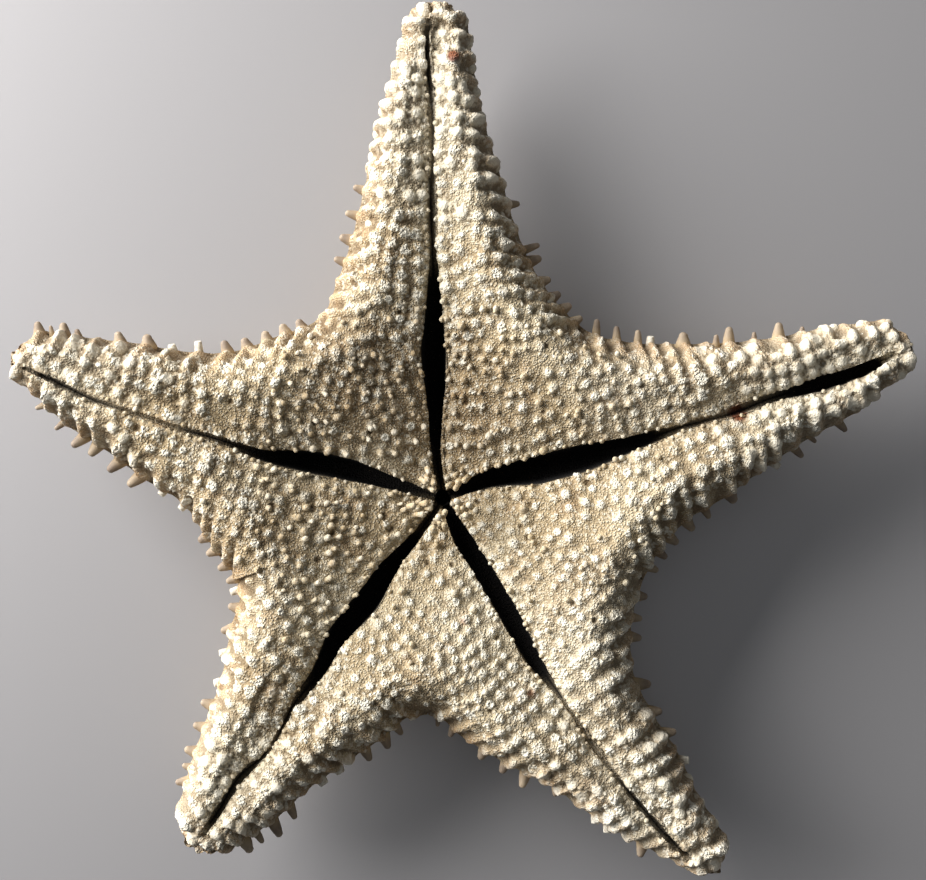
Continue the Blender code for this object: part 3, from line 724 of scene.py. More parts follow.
def lay_grains(relief):
    """Fine grains everywhere between, with patches where more of them are large and worn pale."""
    chance = random.Random(13)
    patches = PALE_GRAIN_SHARE * (1.0 + 0.6 * cloud(relief, 7.0, 8))
    high, wide = patches.shape
    across = int(2 * MAP_HALF[0] / GRAIN_PITCH)
    up = int(2 * MAP_HALF[1] / (GRAIN_PITCH * GRAIN_ROWS))
    for row in range(up):
        for column in range(across):
            x = -MAP_HALF[0] + (column + 0.5 * (row % 2)) * GRAIN_PITCH + chance.uniform(-0.2, 0.2)
            y = -MAP_HALF[1] + row * GRAIN_PITCH * GRAIN_ROWS + chance.uniform(-0.2, 0.2)
            centre = math.hypot(x - MOUTH[0], y - MOUTH[1])
            if centre > GRAIN_REACH:
                continue
            few = 0.3 + 0.7 * float(ease((centre - 22.0) / 30.0))
            at = (min(int((y + MAP_HALF[1]) / MAP_CELL), high - 1),
                  min(int((x + MAP_HALF[0]) / MAP_CELL), wide - 1))
            if chance.random() < few * patches[at]:
                radius = chance.uniform(GRAIN_RADIUS, PALE_GRAIN_RADIUS)
                pale = chance.uniform(0.2, 0.6)
                relief.granule(x, y, radius, chance.uniform(0.12, 0.3), pale)
            else:
                relief.granule(x, y, GRAIN_RADIUS, chance.uniform(0.03, 0.16), 0.0)


# Skin mesh

class Skin:
    """The points and faces of the whole skin, gathered half arm by half arm."""

    def __init__(self):
        self.rows = []
        self.faces = []
        self.owner = []
        self.count = 0

    def row(self, points, edge, ridge, above):
        """Add a row of points and return their numbers."""
        size = len(points)
        self.rows.append((points, edge, np.full(size, ridge), np.full(size, above)))
        self.count += size
        return np.arange(self.count - size, self.count)

    def stitch(self, near_row, far_row, flip, owner):
        """Join two rows, whose counts may differ, with triangles that follow their shares."""
        near, near_shares = near_row
        far, far_shares = far_row
        before = len(self.faces)
        first = 0
        second = 0
        while first < len(near) - 1 or second < len(far) - 1:
            step = near_shares[first + 1] if first < len(near) - 1 else 2.0
            other = far_shares[second + 1] if second < len(far) - 1 else 2.0
            if step <= other:
                corner = (near[first], far[second], near[first + 1])
                first += 1
            else:
                corner = (near[first], far[second], far[second + 1])
                second += 1
            self.faces.append(corner[::-1] if flip else corner)
        self.owner += [owner] * (len(self.faces) - before)


def row_places(length, half, rise, on_rim):
    """Distances out from the groove's middle, about evenly spaced over the surface."""
    wall = min(half + 0.12, 0.5 * length)
    places = [0.0]
    deep = min(half * 2 * GROOVE_DEPTH_PER_WIDTH, GROOVE_DEPTH_MOST)
    steps = max(int(min(deep, 6.0) / (1.4 * SKIN_STEP)), 2)
    places += list(wall * (0.35 + 0.65 * np.arange(1, steps + 1) / steps))
    if not on_rim:
        count = max(int((length - wall) / SKIN_STEP), 1)
        return np.array(places + list(wall + (length - wall) * np.arange(1, count + 1) / count))
    turn = min(rise, 0.8 * (length - wall))
    start = length - turn
    count = max(int((start - wall) / SKIN_STEP), 1)
    places += list(wall + (start - wall) * np.arange(1, count + 1) / count)
    fine = np.linspace(0.0, math.pi / 2, 200)
    run = np.cumsum(np.hypot(turn * np.cos(fine), RIM_DROP * np.sin(fine)))
    count = max(int((turn + RIM_DROP) * 0.78 / (SKIN_STEP * 1.25)), 3)
    angle = np.interp(np.linspace(0.0, run[-1], count + 1)[1:], run, fine)
    places += list(start + turn * np.sin(angle))
    return np.array(places)


def back_places(length):
    """Shares of a row of the back, from the margin in to the arm's middle."""
    count = max(int((length + 12.0) / BACK_STEP), 4)
    shares = np.cos(np.arange(count + 1) / count * math.pi / 2) ** 0.8
    shares[-1] = 0.0
    return shares


def half_arm_rows(index, side):
    """Where the rows of half an arm run: from the groove to the outer side, with their spread."""
    arm = ARMS[index]
    direction, notch = notch_of(index, side)
    turn = math.radians(direction)
    shared = 0.5 * sum(notch_of(index, s)[1] * math.cos(notch_angle(index, s)) for s in (1, -1))
    disc_count = int(DISC_RUN / SKIN_STEP)
    arm_count = int(ARM_RUN / SKIN_STEP)
    disc = np.arange(disc_count + 1) / disc_count
    both = 0.5 * (even_parts(index, 1, arm_count) + even_parts(index, -1, arm_count))
    out = np.concatenate((disc * shared, shared + (arm["reach"] - shared) * both[1:]))
    half, offset = groove_line(arm, out)
    inner = MOUTH + np.outer(out, along(arm)) + np.outer(offset, leftward(arm))
    seam = MOUTH + np.outer(disc * notch, (math.cos(turn), math.sin(turn)))
    outer = np.vstack((seam, margin(index, side, both[1:])))
    inner[-1] = outer[-1] = MOUTH + arm["reach"] * along(arm)
    middle = MOUTH + np.outer((inner - MOUTH) @ along(arm), along(arm))
    return inner, middle, outer, half, disc_count


def rib_places(index, side):
    """Where the ribs cross a margin, in millimetres along it: at the spines and in wide gaps."""
    fine = np.linspace(0.0, 1.0, 400)
    length = margin_length(index, side, fine)
    row = own_row(SPINES, index, side)
    spines = [float(np.interp(spine[0], fine, length)) for spine in row if spine[2] > 1.0]
    places = []
    for place in [-3.0] + spines + [length[-1]]:
        if places and place - places[-1] > RIDGE_GAP:
            start = places[-1]
            count = int(round((place - start) / (0.75 * RIDGE_GAP)))
            places += [start + (place - start) * step / count for step in range(1, count)]
        places.append(place)
    return np.array(places), fine, length


def ridge_wave(index, side, outer, disc_count):
    """For each row, how near it lies to a rib: 1 on a rib, 0 midway between two."""
    arm = ARMS[index]
    places, fine, length = rib_places(index, side)
    start = (margin(index, side, [0.0])[0] - MOUTH) @ along(arm)
    part = ((outer - MOUTH) @ along(arm) - start) / (arm["reach"] - start)
    at = np.interp(part, fine, length)
    after = np.clip(np.searchsorted(places, at), 1, len(places) - 1)
    phase = (at - places[after - 1]) / (places[after] - places[after - 1])
    wave = 0.5 + 0.5 * np.cos(2 * math.pi * phase)
    wave[:disc_count] = wave[disc_count]
    return wave


def build_skin(edge_tree):
    """The whole smooth skin, before its relief."""
    skin = Skin()
    for index, side in HALVES:
        add_half_arm(skin, edge_tree, index, side)
    points, edge, ridge, above = (np.concatenate(column) for column in zip(*skin.rows))
    return points, edge, ridge, above, np.array(skin.faces), np.array(skin.owner)


def add_half_arm(skin, edge_tree, index, side):
    """Add half an arm, with its part of the disc."""
    inner, middle, outer, half, disc_count = half_arm_rows(index, side)
    wave = ridge_wave(index, side, outer, disc_count)
    last = len(inner) - 1
    before = ()
    for step in range(last + 1):
        on_rim = step >= disc_count
        rise = float(by_ring(outer[step:step + 1], LOBE_RISE)[0][0])
        rows = []
        for start, above in ((inner[step], True), (middle[step], False)):
            run = outer[step] - start
            size = float(np.hypot(*run))
            if step in (0, last):
                shares = np.array([0.0])
            elif above:
                shares = row_places(size, half[step], rise, on_rim) / size
            else:
                shares = back_places(size)
            points = start + np.outer(shares, run)
            edge = measure_edge(edge_tree, points, shares, size, on_rim)
            numbers = skin.row(points, edge, wave[step], above)
            rows.append((numbers, shares if above else 1.0 - shares))
        for near, far in zip(before, rows):
            skin.stitch(near, far, side < 0, index)
        before = rows


def measure_edge(edge_tree, points, shares, size, on_rim):
    """How far a row's points lie inside the outline, exact where the row ends on it."""
    edge = edge_tree.distance(points)
    if on_rim:
        near = (1.0 - shares) * size
        ratio = edge / np.maximum(near, 1e-6)
        slant = float(np.median(ratio[(near > 1.0) & (near < 4.0)])) if size > 6.0 else 0.9
        slant = min(max(slant, 0.3), 1.0)
        edge = np.where(near < 2.0, near * slant + (edge - near * slant) * ease(near / 2.0), edge)
    return edge


def place_skin(points, edge, above):
    """Heights for the skin's points, with points that fall together made one."""
    height = np.where(above, upper_height(points, edge), lower_height(points, edge))
    rim = by_ring(points, RIM_HEIGHT)[0]
    on_rim = edge < 1e-6
    height = np.where(on_rim, rim, height)
    level = np.where(on_rim, 2, above.astype(int))
    key = np.column_stack((np.round(points / 0.0005).astype(np.int64), level))
    _, first, same = np.unique(key, axis=0, return_index=True, return_inverse=True)
    return height, first, same.ravel()


def point_normals(points, faces):
    """Each point's normal, with larger faces counting for more."""
    side = points[faces[:, 1]] - points[faces[:, 0]]
    other = points[faces[:, 2]] - points[faces[:, 0]]
    normals = np.cross(side, other)
    total = np.zeros_like(points)
    for axis in range(3):
        for corner in range(3):
            total[:, axis] += np.bincount(faces[:, corner], normals[:, axis], len(points))
    return total / np.maximum(np.linalg.norm(total, axis=1, keepdims=True), 1e-12)


def soft_spot(points, right, up, radius, strength):
    """A round spot that fades outwards, placed from the mouth."""
    gap = np.hypot(points[:, 0] - MOUTH[0] - right, points[:, 1] - MOUTH[1] - up)
    return strength * np.exp(-(gap / radius) ** 2)


def stain_at(points):
    """How strongly the red-brown stains colour each point."""
    return np.max([soft_spot(points, *stain) for stain in STAINS], axis=0)


def pale_at(points):
    """How pale the skin is at each point, from -1 where it is brown to 1 near the tips."""
    value = 0.7 * ease((from_mouth(points) - PALE_FROM) / PALE_OVER)
    for patch in TONE_LIGHT_AND_SHADE_PATCHES:
        value = value + soft_spot(points, *patch)
    return np.clip(value, -1.0, 1.0)


def make_skin():
    """The five pieces of the skin, one for each arm with its part of the disc."""
    edge_tree = Edge()
    points, edge, ridge, above, faces, owner = build_skin(edge_tree)
    height, first, same = place_skin(points, edge, above)
    points = np.column_stack((points, height))[first]
    edge, ridge, above = edge[first], ridge[first], above[first]
    faces = same[faces]
    split = (faces[:, 0] != faces[:, 1]) & (faces[:, 1] != faces[:, 2])
    split = split & (faces[:, 2] != faces[:, 0])
    faces, owner = faces[split], owner[split]
    normals = point_normals(points, faces)

    relief = Relief()
    lumps = find_lumps(relief)
    swell = cloud(relief, 9.0, 6)
    lay_lumps(relief, lumps)
    lay_lips(relief)
    lay_pits(relief, lumps)
    lay_grains(relief)
    broad = soften(relief.height, int(1.6 / MAP_CELL))
    flat = points[:, :2]
    bump = relief.read(relief.height, flat)
    hollow = bump - relief.read(broad, flat)
    white = relief.read(relief.white, flat)
    clear, inside = groove_parts(flat)[1:]
    facing = normals[:, 2]
    on_top = above & (facing > 0.0)
    steep = ease((facing - 0.05) / 0.4)
    quiet = ease((clear + 0.6) / 0.7)
    rib = ridge * np.exp(-(edge / RIDGE_REACH) ** 2)
    furrow = (1.0 - ridge) * np.exp(-(edge / FURROW_REACH) ** 2)
    shape = bump * (0.35 + 0.65 * steep) * quiet + 0.25 * relief.read(swell, flat) * steep
    lift = -SKIN_SUNK + shape + RIDGE_HEIGHT * rib - FURROW_DEPTH * furrow
    back = -BACK_SUNK + 0.3 * bump * ease(-facing * 2) + 0.3 * rib
    lift = np.where(on_top, lift, back)
    placed = points + normals * lift[:, None]
    low = np.array(CAD_LOW) / MM + SHY
    high = np.array(CAD_HIGH) / MM - SHY
    low[2] = LEAST_HEIGHT
    placed = np.clip(placed, low, high)

    # Where the hollow value is low the shader browns the skin, here also along the furrows between the
    # ribs: partly painted shade.
    hollow = hollow * (0.4 + 0.6 * steep) * quiet - 0.45 * furrow + 0.12 * rib
    values = {
        "hollow": np.where(on_top, hollow, -0.35 * furrow),
        "white": np.where(on_top, white * quiet, 0.3 * white),
        "depth": np.where(above, inside, 0.0),
        "smooth": np.where(on_top, relief.read(relief.smooth, flat), 0.0),
        "stain": stain_at(placed),
        "pale": pale_at(placed),
        "warm": np.exp(-(edge / WARM_REACH) ** 2) * (0.35 + 0.65 * ridge),
    }
    pieces = []
    for index, arm in enumerate(ARMS):
        used, local = np.unique(faces[owner == index], return_inverse=True)
        own = {name: value[used] for name, value in values.items()}
        name = "skin_" + arm["name"] + "_arm"
        pieces.append(make_piece(name, placed[used], local.reshape(-1, 3), own))
    return pieces, edge_tree, lumps


def make_piece(name, points, faces, values):
    """A mesh object from arrays in millimetres, with a value for each point."""
    data = bpy.data.meshes.new(name)
    data.vertices.add(len(points))
    data.vertices.foreach_set("co", (points * MM).astype(np.float32).ravel())
    data.loops.add(len(faces) * 3)
    data.loops.foreach_set("vertex_index", faces.astype(np.int32).ravel())
    data.polygons.add(len(faces))
    data.polygons.foreach_set("loop_start", np.arange(0, len(faces) * 3, 3, dtype=np.int32))
    data.update(calc_edges=True)
    data.validate()
    for label, value in values.items():
        layer = data.attributes.new(label, "FLOAT", "POINT")
        layer.data.foreach_set("value", np.asarray(value, dtype=np.float32))
    data.shade_smooth()
    return add_object(name, data)


def add_object(name, data):
    """A new object in the scene."""
    thing = bpy.data.objects.new(name, data)
    bpy.context.scene.collection.objects.link(thing)
    return thing


# Small turned things

class Lathe:
    """Many turned lumps gathered in one mesh, with its own random draws."""

    def __init__(self, seed):
        self.chance = random.Random(seed)
        self.points = []
        self.faces = []
        self.values = []
        self.count = 0

    def add(self, foot, direction, profile, sides, rough, white, hollow=0.0):
        """One lump: a profile of (distance along, radius) turned about its direction."""
        chance = self.chance
        turn = np.array(Vector(direction).to_track_quat("Z", "Y").to_matrix())
        profile = np.array(profile)
        angle = np.arange(sides) * 2 * math.pi / sides + chance.uniform(0.0, FULL_TURN)
        rings = []
        for place, radius in profile:
            swell = 1.0 + rough * np.array([chance.uniform(-1.0, 1.0) for _ in range(sides)])
            ring = np.column_stack((radius * swell * np.cos(angle), radius * swell * np.sin(angle),
                                    np.full(sides, place)))
            rings.append(ring)
        end = np.array([[0.0, 0.0, profile[-1, 0]]])
        shape = np.vstack(rings + [end]) @ turn.T + np.array(foot)
        faces = []
        for ring in range(len(profile) - 1):
            for corner in range(sides):
                after = (corner + 1) % sides
                low = ring * sides
                faces.append((low + corner, low + after, low + sides + after))
                faces.append((low + corner, low + sides + after, low + sides + corner))
        top = (len(profile) - 1) * sides
        last = len(shape) - 1
        faces += [(top + corner, top + (corner + 1) % sides, last) for corner in range(sides)]
        base = [(0, corner + 1, corner) for corner in range(1, sides - 1)]
        self.faces.append(np.array(faces + base) + self.count)
        self.points.append(shape)
        self.count += len(shape)
        share = (profile[:, 0] - profile[0, 0]) / (profile[-1, 0] - profile[0, 0])
        share = np.concatenate((np.repeat(share, sides), [1.0]))
        none = np.zeros(len(shape))
        # The hollow value falls towards each lump's foot: on the skin pieces this browns the foot,
        # partly painted shade; on the spines it makes the foot honey-coloured.
        self.values.append({
            "hollow": hollow + 0.25 * (share - 0.6), "white": white * ease(share * 1.5),
            "depth": none, "smooth": np.ones(len(shape)), "stain": none, "pale": pale_at(shape),
            "warm": none})

    def piece(self, name):
        """The gathered lumps as one object."""
        values = {label: np.concatenate([own[label] for own in self.values])
                  for label in self.values[0]}
        return make_piece(name, np.vstack(self.points), np.vstack(self.faces), values)


def margin_spot(index, side, part, lean=0.0):
    """A point on the margin and the direction out from it, leaning towards the tip by an angle."""
    points = margin(index, side, [part - 0.01, part, part + 0.01])
    run = points[2] - points[0]
    run = run / np.hypot(*run)
    out = np.array((-run[1], run[0])) * side
    turn = math.radians(lean)
    return points[1], out * math.cos(turn) + run * math.sin(turn)


def make_spines():
    """The blunt spines along the margins."""
    lathe = Lathe(21)
    lift = math.tan(math.radians(SPINE_TILT))
    for index, side in HALVES:
        for part, length, radius, lean, broken in own_row(SPINES, index, side):
            spot, out = margin_spot(index, side, part, lean)
            foot = (*(spot - out * SPINE_ROOT), rim_height(spot) + 1.2)
            if broken:
                profile = stump(SPINE_ROOT + 0.9 * length, 0.95 * radius)
            else:
                profile = blunt_cone(SPINE_ROOT + 0.97 * length, radius)
            white = 0.9 if broken else 0.0
            lathe.add(foot, (out[0], out[1], lift), profile, SPINE_SIDES, 0.02, white, 0.05)
    return lathe.piece("marginal_spines")


def stump(length, radius):
    """The profile of a spine that is broken off, with a rough flat end."""
    return [(0.0, 1.15 * radius), (0.5 * length, radius), (length - 0.25, 0.84 * radius),
            (length, 0.7 * radius), (length - 0.2, 0.4 * radius)]


def blunt_cone(length, radius):
    """The profile of a smooth blunt spine that swells towards its foot."""
    tip = 0.7 * radius
    share = np.linspace(0.0, 1.0, 11)
    width = tip + (1.15 * radius - tip) * (1.0 - share ** 1.6)
    return list(zip(share * (length - tip), width)) + round_end(length - tip, tip, (0.5, 0.95, 1.3))


def round_end(start, radius, angles):
    """Points of a profile that run round part of a circle."""
    return [(start + radius * math.sin(turn), radius * math.cos(turn)) for turn in angles]


def make_knobs():
    """Round knobs on the margins near the tips."""
    lathe = Lathe(31)
    for index, side in HALVES:
        start, end, count = own_row(KNOB_ROWS, index, side)
        for number in range(count):
            part = start + (end - start) * number / (count - 1)
            spot, out = margin_spot(index, side, part)
            radius = KNOB_RADIUS * (1.05 - 0.3 * part)
            foot = (*(spot - out * (0.75 * radius)), rim_height(spot) + 2.0)
            profile = dome(0.88 * radius)
            lathe.add(foot, (out[0], out[1], 0.5), profile, KNOB_SIDES, 0.01, 0.5)
    return lathe.piece("margin_knobs")


def dome(radius):
    """The profile of a round knob."""
    return round_end(0.0, radius, np.linspace(-0.4, 1.5, 12))


def make_back_knobs(edge_tree):
    """The knobs on the back, and the five worn ones that the starfish stands on."""
    lathe = Lathe(41)
    for index, arm in enumerate(ARMS):
        spots = [(MOUTH + along(arm) * out, radius) for out, radius in KEEL_KNOBS]
        turn = math.radians(NOTCHES[index][0])
        between = np.array((math.cos(turn), math.sin(turn)))
        spots += [(MOUTH + between * out, radius) for out, radius in BACK_KNOBS]
        for spot, radius in spots:
            edge = edge_tree.distance([spot])
            height = float(lower_height(np.array([spot]), edge)[0])
            profile = dome(0.95 * radius)
            lathe.add((*spot, height), (0, 0, -1), profile, KNOB_SIDES, 0.02, 0.3)
        spot = MOUTH + along(arm) * FOOT_RING
        profile = [(-9.0, 1.1 * FOOT_RADIUS), (-4.0, 1.05 * FOOT_RADIUS), (-2.4, FOOT_RADIUS),
                   (-1.2, 0.9 * FOOT_RADIUS), (-0.4, 0.78 * FOOT_RADIUS), (0.0, FOOT_FLAT)]
        lathe.add((*spot, 0.0), (0, 0, -1), profile, FOOT_SIDES, 0.01, 0.35)
    return lathe.piece("back_knobs")


def peg_profile(radius, length):
    """The profile of a small peg with a round end."""
    start = length - radius
    profile = [(-0.8, 0.85 * radius), (0.3 * length, 0.92 * radius), (start, radius)]
    return profile + round_end(start, radius, (0.4, 0.8, 1.2))


def make_pegs(edge_tree, lumps):
    """Small round-ended pegs on the disc, along the grooves' edges and round the mouth."""
    lathe = Lathe(51)
    chance = lathe.chance
    for lump in lumps:
        if lump.kind == "peg":
            for _ in range(chance.choice((1, 1, 2))):
                shift = (chance.uniform(-0.8, 0.8), chance.uniform(-0.8, 0.8))
                place = np.array((lump.x, lump.y)) + shift
                radius = chance.uniform(0.6, 0.95) * lump.size
                add_peg(lathe, edge_tree, place, radius, chance.uniform(1.4, 2.6))
    for index, side in HALVES:
        arm = ARMS[index]
        out = 6.0
        while out < PEG_REACH * arm["reach"]:
            half, offset = groove_at(arm, out)
            across = side * offset + half + chance.uniform(0.6, 1.3)
            place = spot_on(arm, out, side * across)
            radius = chance.uniform(0.38, 0.7) + 0.25 * out / arm["reach"]
            add_peg(lathe, edge_tree, place, radius, chance.uniform(0.7, 1.4))
            out += chance.choice((1.5, 2.8, 5.5, 8.0)) * (0.7 + out / arm["reach"])
    for direction, _ in NOTCHES:
        add_jaw(lathe, math.radians(direction))
    return lathe.piece("pegs")


def add_peg(lathe, edge_tree, place, radius, length):
    """One peg, standing on the skin and leaning a little towards the mouth."""
    chance = lathe.chance
    near = np.array([place, place + (0.4, 0.0), place + (0.0, 0.4)])
    edge = edge_tree.distance(near)
    height = upper_height(near, edge)
    if edge[0] < 4.0 or groove_parts(near)[1][0] < 0.5:
        return
    lean = np.array((height[0] - height[1], height[0] - height[2], 0.5))
    lean = np.clip(lean, -0.35, 0.6) + np.array([chance.uniform(-0.12, 0.12) for _ in range(3)])
    lean[:2] += 0.3 * (MOUTH - place) / max(np.hypot(*(MOUTH - place)), 8.0)
    foot = height[0] - SKIN_SUNK
    length = min(length, CREST_HEIGHT[2] - SHY - foot)
    profile = peg_profile(min(radius, 0.7 * length), length)
    white = chance.choice((0.1, 0.2, 0.3, 0.5))
    lathe.add((*place, foot), tuple(lean), profile, PEG_SIDES, 0.03, white)


def add_jaw(lathe, turn):
    """The longer pegs at the corner of a jaw, pointing in over the mouth."""
    chance = lathe.chance
    inward = np.array((-math.cos(turn), -math.sin(turn)))
    aside = np.array((-inward[1], inward[0]))
    for shift, out in ((-0.7, 4.4), (0.8, 5.3), (0.1, 6.9), (-1.2, 7.6), (1.5, 8.6)):
        place = MOUTH - inward * (out + chance.uniform(-0.4, 0.4)) + aside * shift
        lean = (*(inward + aside * chance.uniform(-0.5, 0.5)), chance.uniform(0.7, 1.3))
        foot = (*place, CREST_HEIGHT[0] - JAW_DROP)
        profile = peg_profile(chance.uniform(0.65, 0.95), chance.uniform(1.6, 2.4))
        lathe.add(foot, lean, profile, JAW_SIDES, 0.03, chance.uniform(0.1, 0.5))


# Materials

def sum_with(operation, turned=False):
    """A way to work out a wire and another value, or the other value and the wire."""
    def make(self, other):
        first, second = (other, self) if turned else (self, other)
        return self.graph.node("ShaderNodeMath", dict(operation=operation), {0: first, 1: second})
    return make


class Wire:
    """A socket's output that can be used in sums."""

    __add__ = sum_with("ADD")
    __radd__ = sum_with("ADD", True)
    __sub__ = sum_with("SUBTRACT")
    __rsub__ = sum_with("SUBTRACT", True)
    __mul__ = sum_with("MULTIPLY")
    __rmul__ = sum_with("MULTIPLY", True)

    def __init__(self, graph, socket):
        self.graph = graph
        self.socket = socket

    def clipped(self):
        """This value kept between 0 and 1."""
        return self.graph.node("ShaderNodeClamp", {}, {"Value": self})

    def between(self, low, high):
        """0 where this value is low, 1 where it is high, and a smooth step between."""
        return self.graph.node("ShaderNodeMapRange", dict(interpolation_type="SMOOTHSTEP"),
                               {"Value": self, "From Min": low, "From Max": high})


class Graph:
    """The node tree of one material."""

    def __init__(self, name):
        self.material = bpy.data.materials.new(name)
        self.material.use_nodes = True
        self.tree = self.material.node_tree
        self.shader = self.tree.nodes["Principled BSDF"]

    def node(self, kind, settings, sockets, output=0):
        """Any node: its settings are set first, then the values or links of its sockets."""
        made = self.tree.nodes.new(kind)
        for name, value in settings.items():
            setattr(made, name, value)
        for name, value in sockets.items():
            self.feed(made.inputs[name], value)
        return Wire(self, made.outputs[output])

    def feed(self, socket, value):
        """Link a wire to a socket, or set the socket's own value."""
        if isinstance(value, Wire):
            self.tree.links.new(value.socket, socket)
        else:
            socket.default_value = value

    def give(self, **sockets):
        """Set or link sockets of the shader."""
        for name, value in sockets.items():
            self.feed(self.shader.inputs[name.replace("_", " ")], value)

    def give_bumps(self, strength, distance, height):
        """Fine bumps of the surface, with their distance in metres."""
        self.give(Normal=self.node("ShaderNodeBump", {}, {"Strength": strength,
                                                          "Distance": distance, "Height": height}))

    def value(self, name):
        """A value that the mesh carries."""
        return self.node("ShaderNodeAttribute", dict(attribute_name=name), {}, "Fac")

    def place(self):
        """The place on the object."""
        return self.node("ShaderNodeTexCoord", {}, {}, "Object")

    def noise(self, place, size, detail=3.0, rough=0.55):
        """Noise whose lumps are about size millimetres across."""
        sockets = {"Vector": place, "Scale": 1000.0 / size, "Detail": detail, "Roughness": rough}
        return self.node("ShaderNodeTexNoise", {}, sockets)

    def mix(self, factor, first, second):
        """A mix of two colours."""
        return self.node("ShaderNodeMix", dict(data_type="RGBA"),
                         {"Factor": factor, 6: first, 7: second}, 2)


def colour(red, green, blue):
    """A colour, given as it looks on a screen from 0 to 255."""
    return tuple((part / 255.0) ** 2.2 for part in (red, green, blue)) + (1.0,)


TAN = colour(176, 156, 122)
SAND = colour(198, 182, 150)
CHALK = colour(232, 227, 211)
UMBER = colour(78, 59, 37)
BROWN = colour(112, 88, 58)
RUST = colour(156, 118, 78)
WARM = colour(192, 148, 100)
STAIN = colour(112, 56, 28)
PIT = colour(16, 11, 8)
TAUPE = colour(124, 109, 95)
HORN = colour(164, 147, 124)
HONEY = colour(192, 166, 124)


def skin_material():
    """Granular skin: tan ground, whitish worn tops; hollows brown and grooves near-black, partly
    painted shade.
    """
    graph = Graph("dried_skin")
    place = graph.place()
    hollow = graph.value("hollow")
    white = graph.value("white")
    smooth = graph.value("smooth")
    broad = graph.noise(place, 26.0)
    patch = graph.noise(place, 7.0)
    fine = graph.noise(place, 1.1)
    grains = graph.node("ShaderNodeTexVoronoi", dict(feature="F1"),
                        {"Vector": place, "Scale": 1000.0 / 0.62, "Randomness": 0.9}, "Distance")
    pale = graph.value("pale")
    low = (hollow * -1.0 + (fine - 0.5) * 0.6).between(0.0, 0.6)
    rough = 1.0 - smooth * 0.7
    worn = (hollow + (fine - 0.5) * 0.6 + (broad - 0.5) * 1.2).between(0.0, 0.6)
    tops = (white * (0.4 + 1.0 * fine)).between(0.1, 0.75)
    stained = (graph.value("stain") * (0.5 + fine)).between(0.15, 0.6)
    coats = (
        (broad.between(0.35, 0.65), SAND),
        (patch.between(0.52, 0.78) * 0.4, RUST),
        # Paler and browner patches: partly the skin's own tone, partly painted light and shade.
        (pale.between(0.0, 1.0) * 0.3, CHALK),
        (pale.between(0.0, -1.0) * 0.5, BROWN),
        (graph.value("warm") * patch.between(0.25, 0.6) * 0.55, WARM),
        # Brown where the skin lies lower than round about: partly its own colour, partly painted shade.
        (low * (0.65 - 0.2 * pale), UMBER),
        (grains.between(0.5, 0.1) * (1.0 - low) * 0.55, CHALK),
        # Brown in the gaps between the fine grains, partly painted shade.
        (grains.between(0.5, 0.8) * rough * 0.4, UMBER),
        (worn * 0.45, CHALK),
        (tops * 0.8, CHALK),
        (stained * 0.9, STAIN),
        # Near-black inside the grooves: partly their own dark colour, partly painted shade.
        (graph.value("depth"), PIT),
    )
    ground = TAN
    for share, tint in coats:
        ground = graph.mix(share, ground, tint)
    gloss = (0.92 - 0.25 * tops).clipped()
    graph.give(Base_Color=ground, Roughness=gloss, Specular_IOR_Level=0.35)
    bumps = ((1.0 - grains.between(0.1, 0.75)) + 0.5 * graph.noise(place, 0.4)) * rough
    graph.give_bumps(1.0, 0.34 * MM, bumps)
    return graph.material


def spine_material():
    """Smooth, slightly waxy spines, taupe at the tip and sandy at the foot."""
    graph = Graph("spine")
    place = graph.place()
    hollow = graph.value("hollow")
    white = graph.value("white")
    fine = graph.noise(place, 1.0)
    tone = graph.mix(graph.noise(place, 5.0).between(0.3, 0.7), HORN, TAUPE)
    tone = graph.mix(hollow.between(0.08, -0.12) * 0.8, tone, HONEY)
    tone = graph.mix(white * fine.between(0.2, 0.6), tone, CHALK)
    graph.give(Base_Color=tone, Roughness=(0.5 + 0.3 * fine).clipped())
    graph.give_bumps(0.35, 0.12 * MM, graph.noise(place, 0.35))
    return graph.material


# Floor, light and camera, in metres

CAMERA_HEIGHT = 0.60
VIEW_WIDTH = 0.2463
VIEW_PLANE = 0.034
VIEW_MIDDLE = (0.00019, -0.00052)
SENSOR = 36.0
FLOOR_HALF = 3.0
FLOOR_TINT = (0.46, 0.45, 0.46, 1.0)
SKY_TINT = (0.9, 0.95, 1.0, 1.0)
SKY_STRENGTH = 0.11

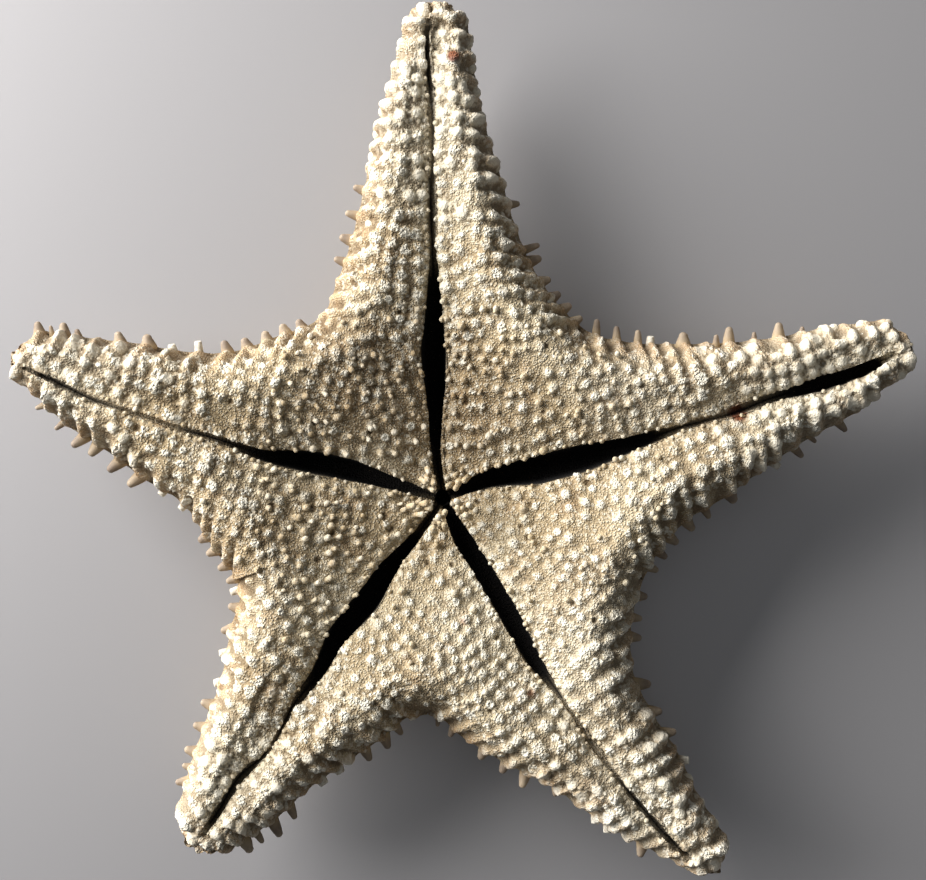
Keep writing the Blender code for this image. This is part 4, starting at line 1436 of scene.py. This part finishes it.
# Each light's place, size, power and tint.
LIGHTS = {
    "key": ((-1.83, 1.03, 0.90), 2.1, 196.0, (1.0, 0.985, 0.965)),
    "fill": ((0.3, 0.3, 1.4), 1.2, 0.9, (1.0, 1.0, 1.0)),
}


def floor_material():
    """A plain pale floor."""
    graph = Graph("pale_floor")
    graph.give(Base_Color=FLOOR_TINT, Roughness=0.55, Metallic=0.84)
    return graph.material


def make_floor():
    """The floor that the starfish lies on."""
    mesh = bmesh.new()
    bmesh.ops.create_grid(mesh, x_segments=1, y_segments=1, size=FLOOR_HALF)
    data = bpy.data.meshes.new("floor")
    mesh.to_mesh(data)
    mesh.free()
    data.materials.append(floor_material())
    add_object("floor", data)


def add_light(name, place, size, power, tint):
    """A square light that faces the starfish."""
    data = bpy.data.lights.new(name, "AREA")
    data.shape = "SQUARE"
    data.size = size
    data.energy = power
    data.color = tint
    lamp = add_object(name, data)
    lamp.location = place
    lamp.rotation_euler = (-Vector(place)).to_track_quat("-Z", "Y").to_euler()


def make_light():
    """Soft light from the upper left, with a pale surround."""
    for name, light in LIGHTS.items():
        add_light(name, *light)
    world = bpy.data.worlds.new("surround")
    world.use_nodes = True
    sky = world.node_tree.nodes["Background"].inputs
    sky["Color"].default_value = SKY_TINT
    sky["Strength"].default_value = SKY_STRENGTH
    bpy.context.scene.world = world
    bpy.context.scene.view_settings.view_transform = "Standard"


def make_camera():
    """A camera that looks straight down."""
    data = bpy.data.cameras.new("camera")
    data.sensor_width = SENSOR
    data.lens = SENSOR * (CAMERA_HEIGHT - VIEW_PLANE) / VIEW_WIDTH
    camera = add_object("camera", data)
    camera.location = (*VIEW_MIDDLE, CAMERA_HEIGHT)
    bpy.context.scene.camera = camera


def dress(piece, material):
    """Give a piece its material, and let it stand for the solid."""
    piece.data.materials.append(material)
    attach(piece, "root")
    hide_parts(NODE)


def main():
    """Dress the starfish and set the stage."""
    skin = skin_material()
    spine = spine_material()
    arms, edge_tree, lumps = make_skin()
    for piece in arms + [make_pegs(edge_tree, lumps), make_back_knobs(edge_tree), make_knobs()]:
        dress(piece, skin)
    dress(make_spines(), spine)
    make_floor()
    make_light()
    make_camera()


main()
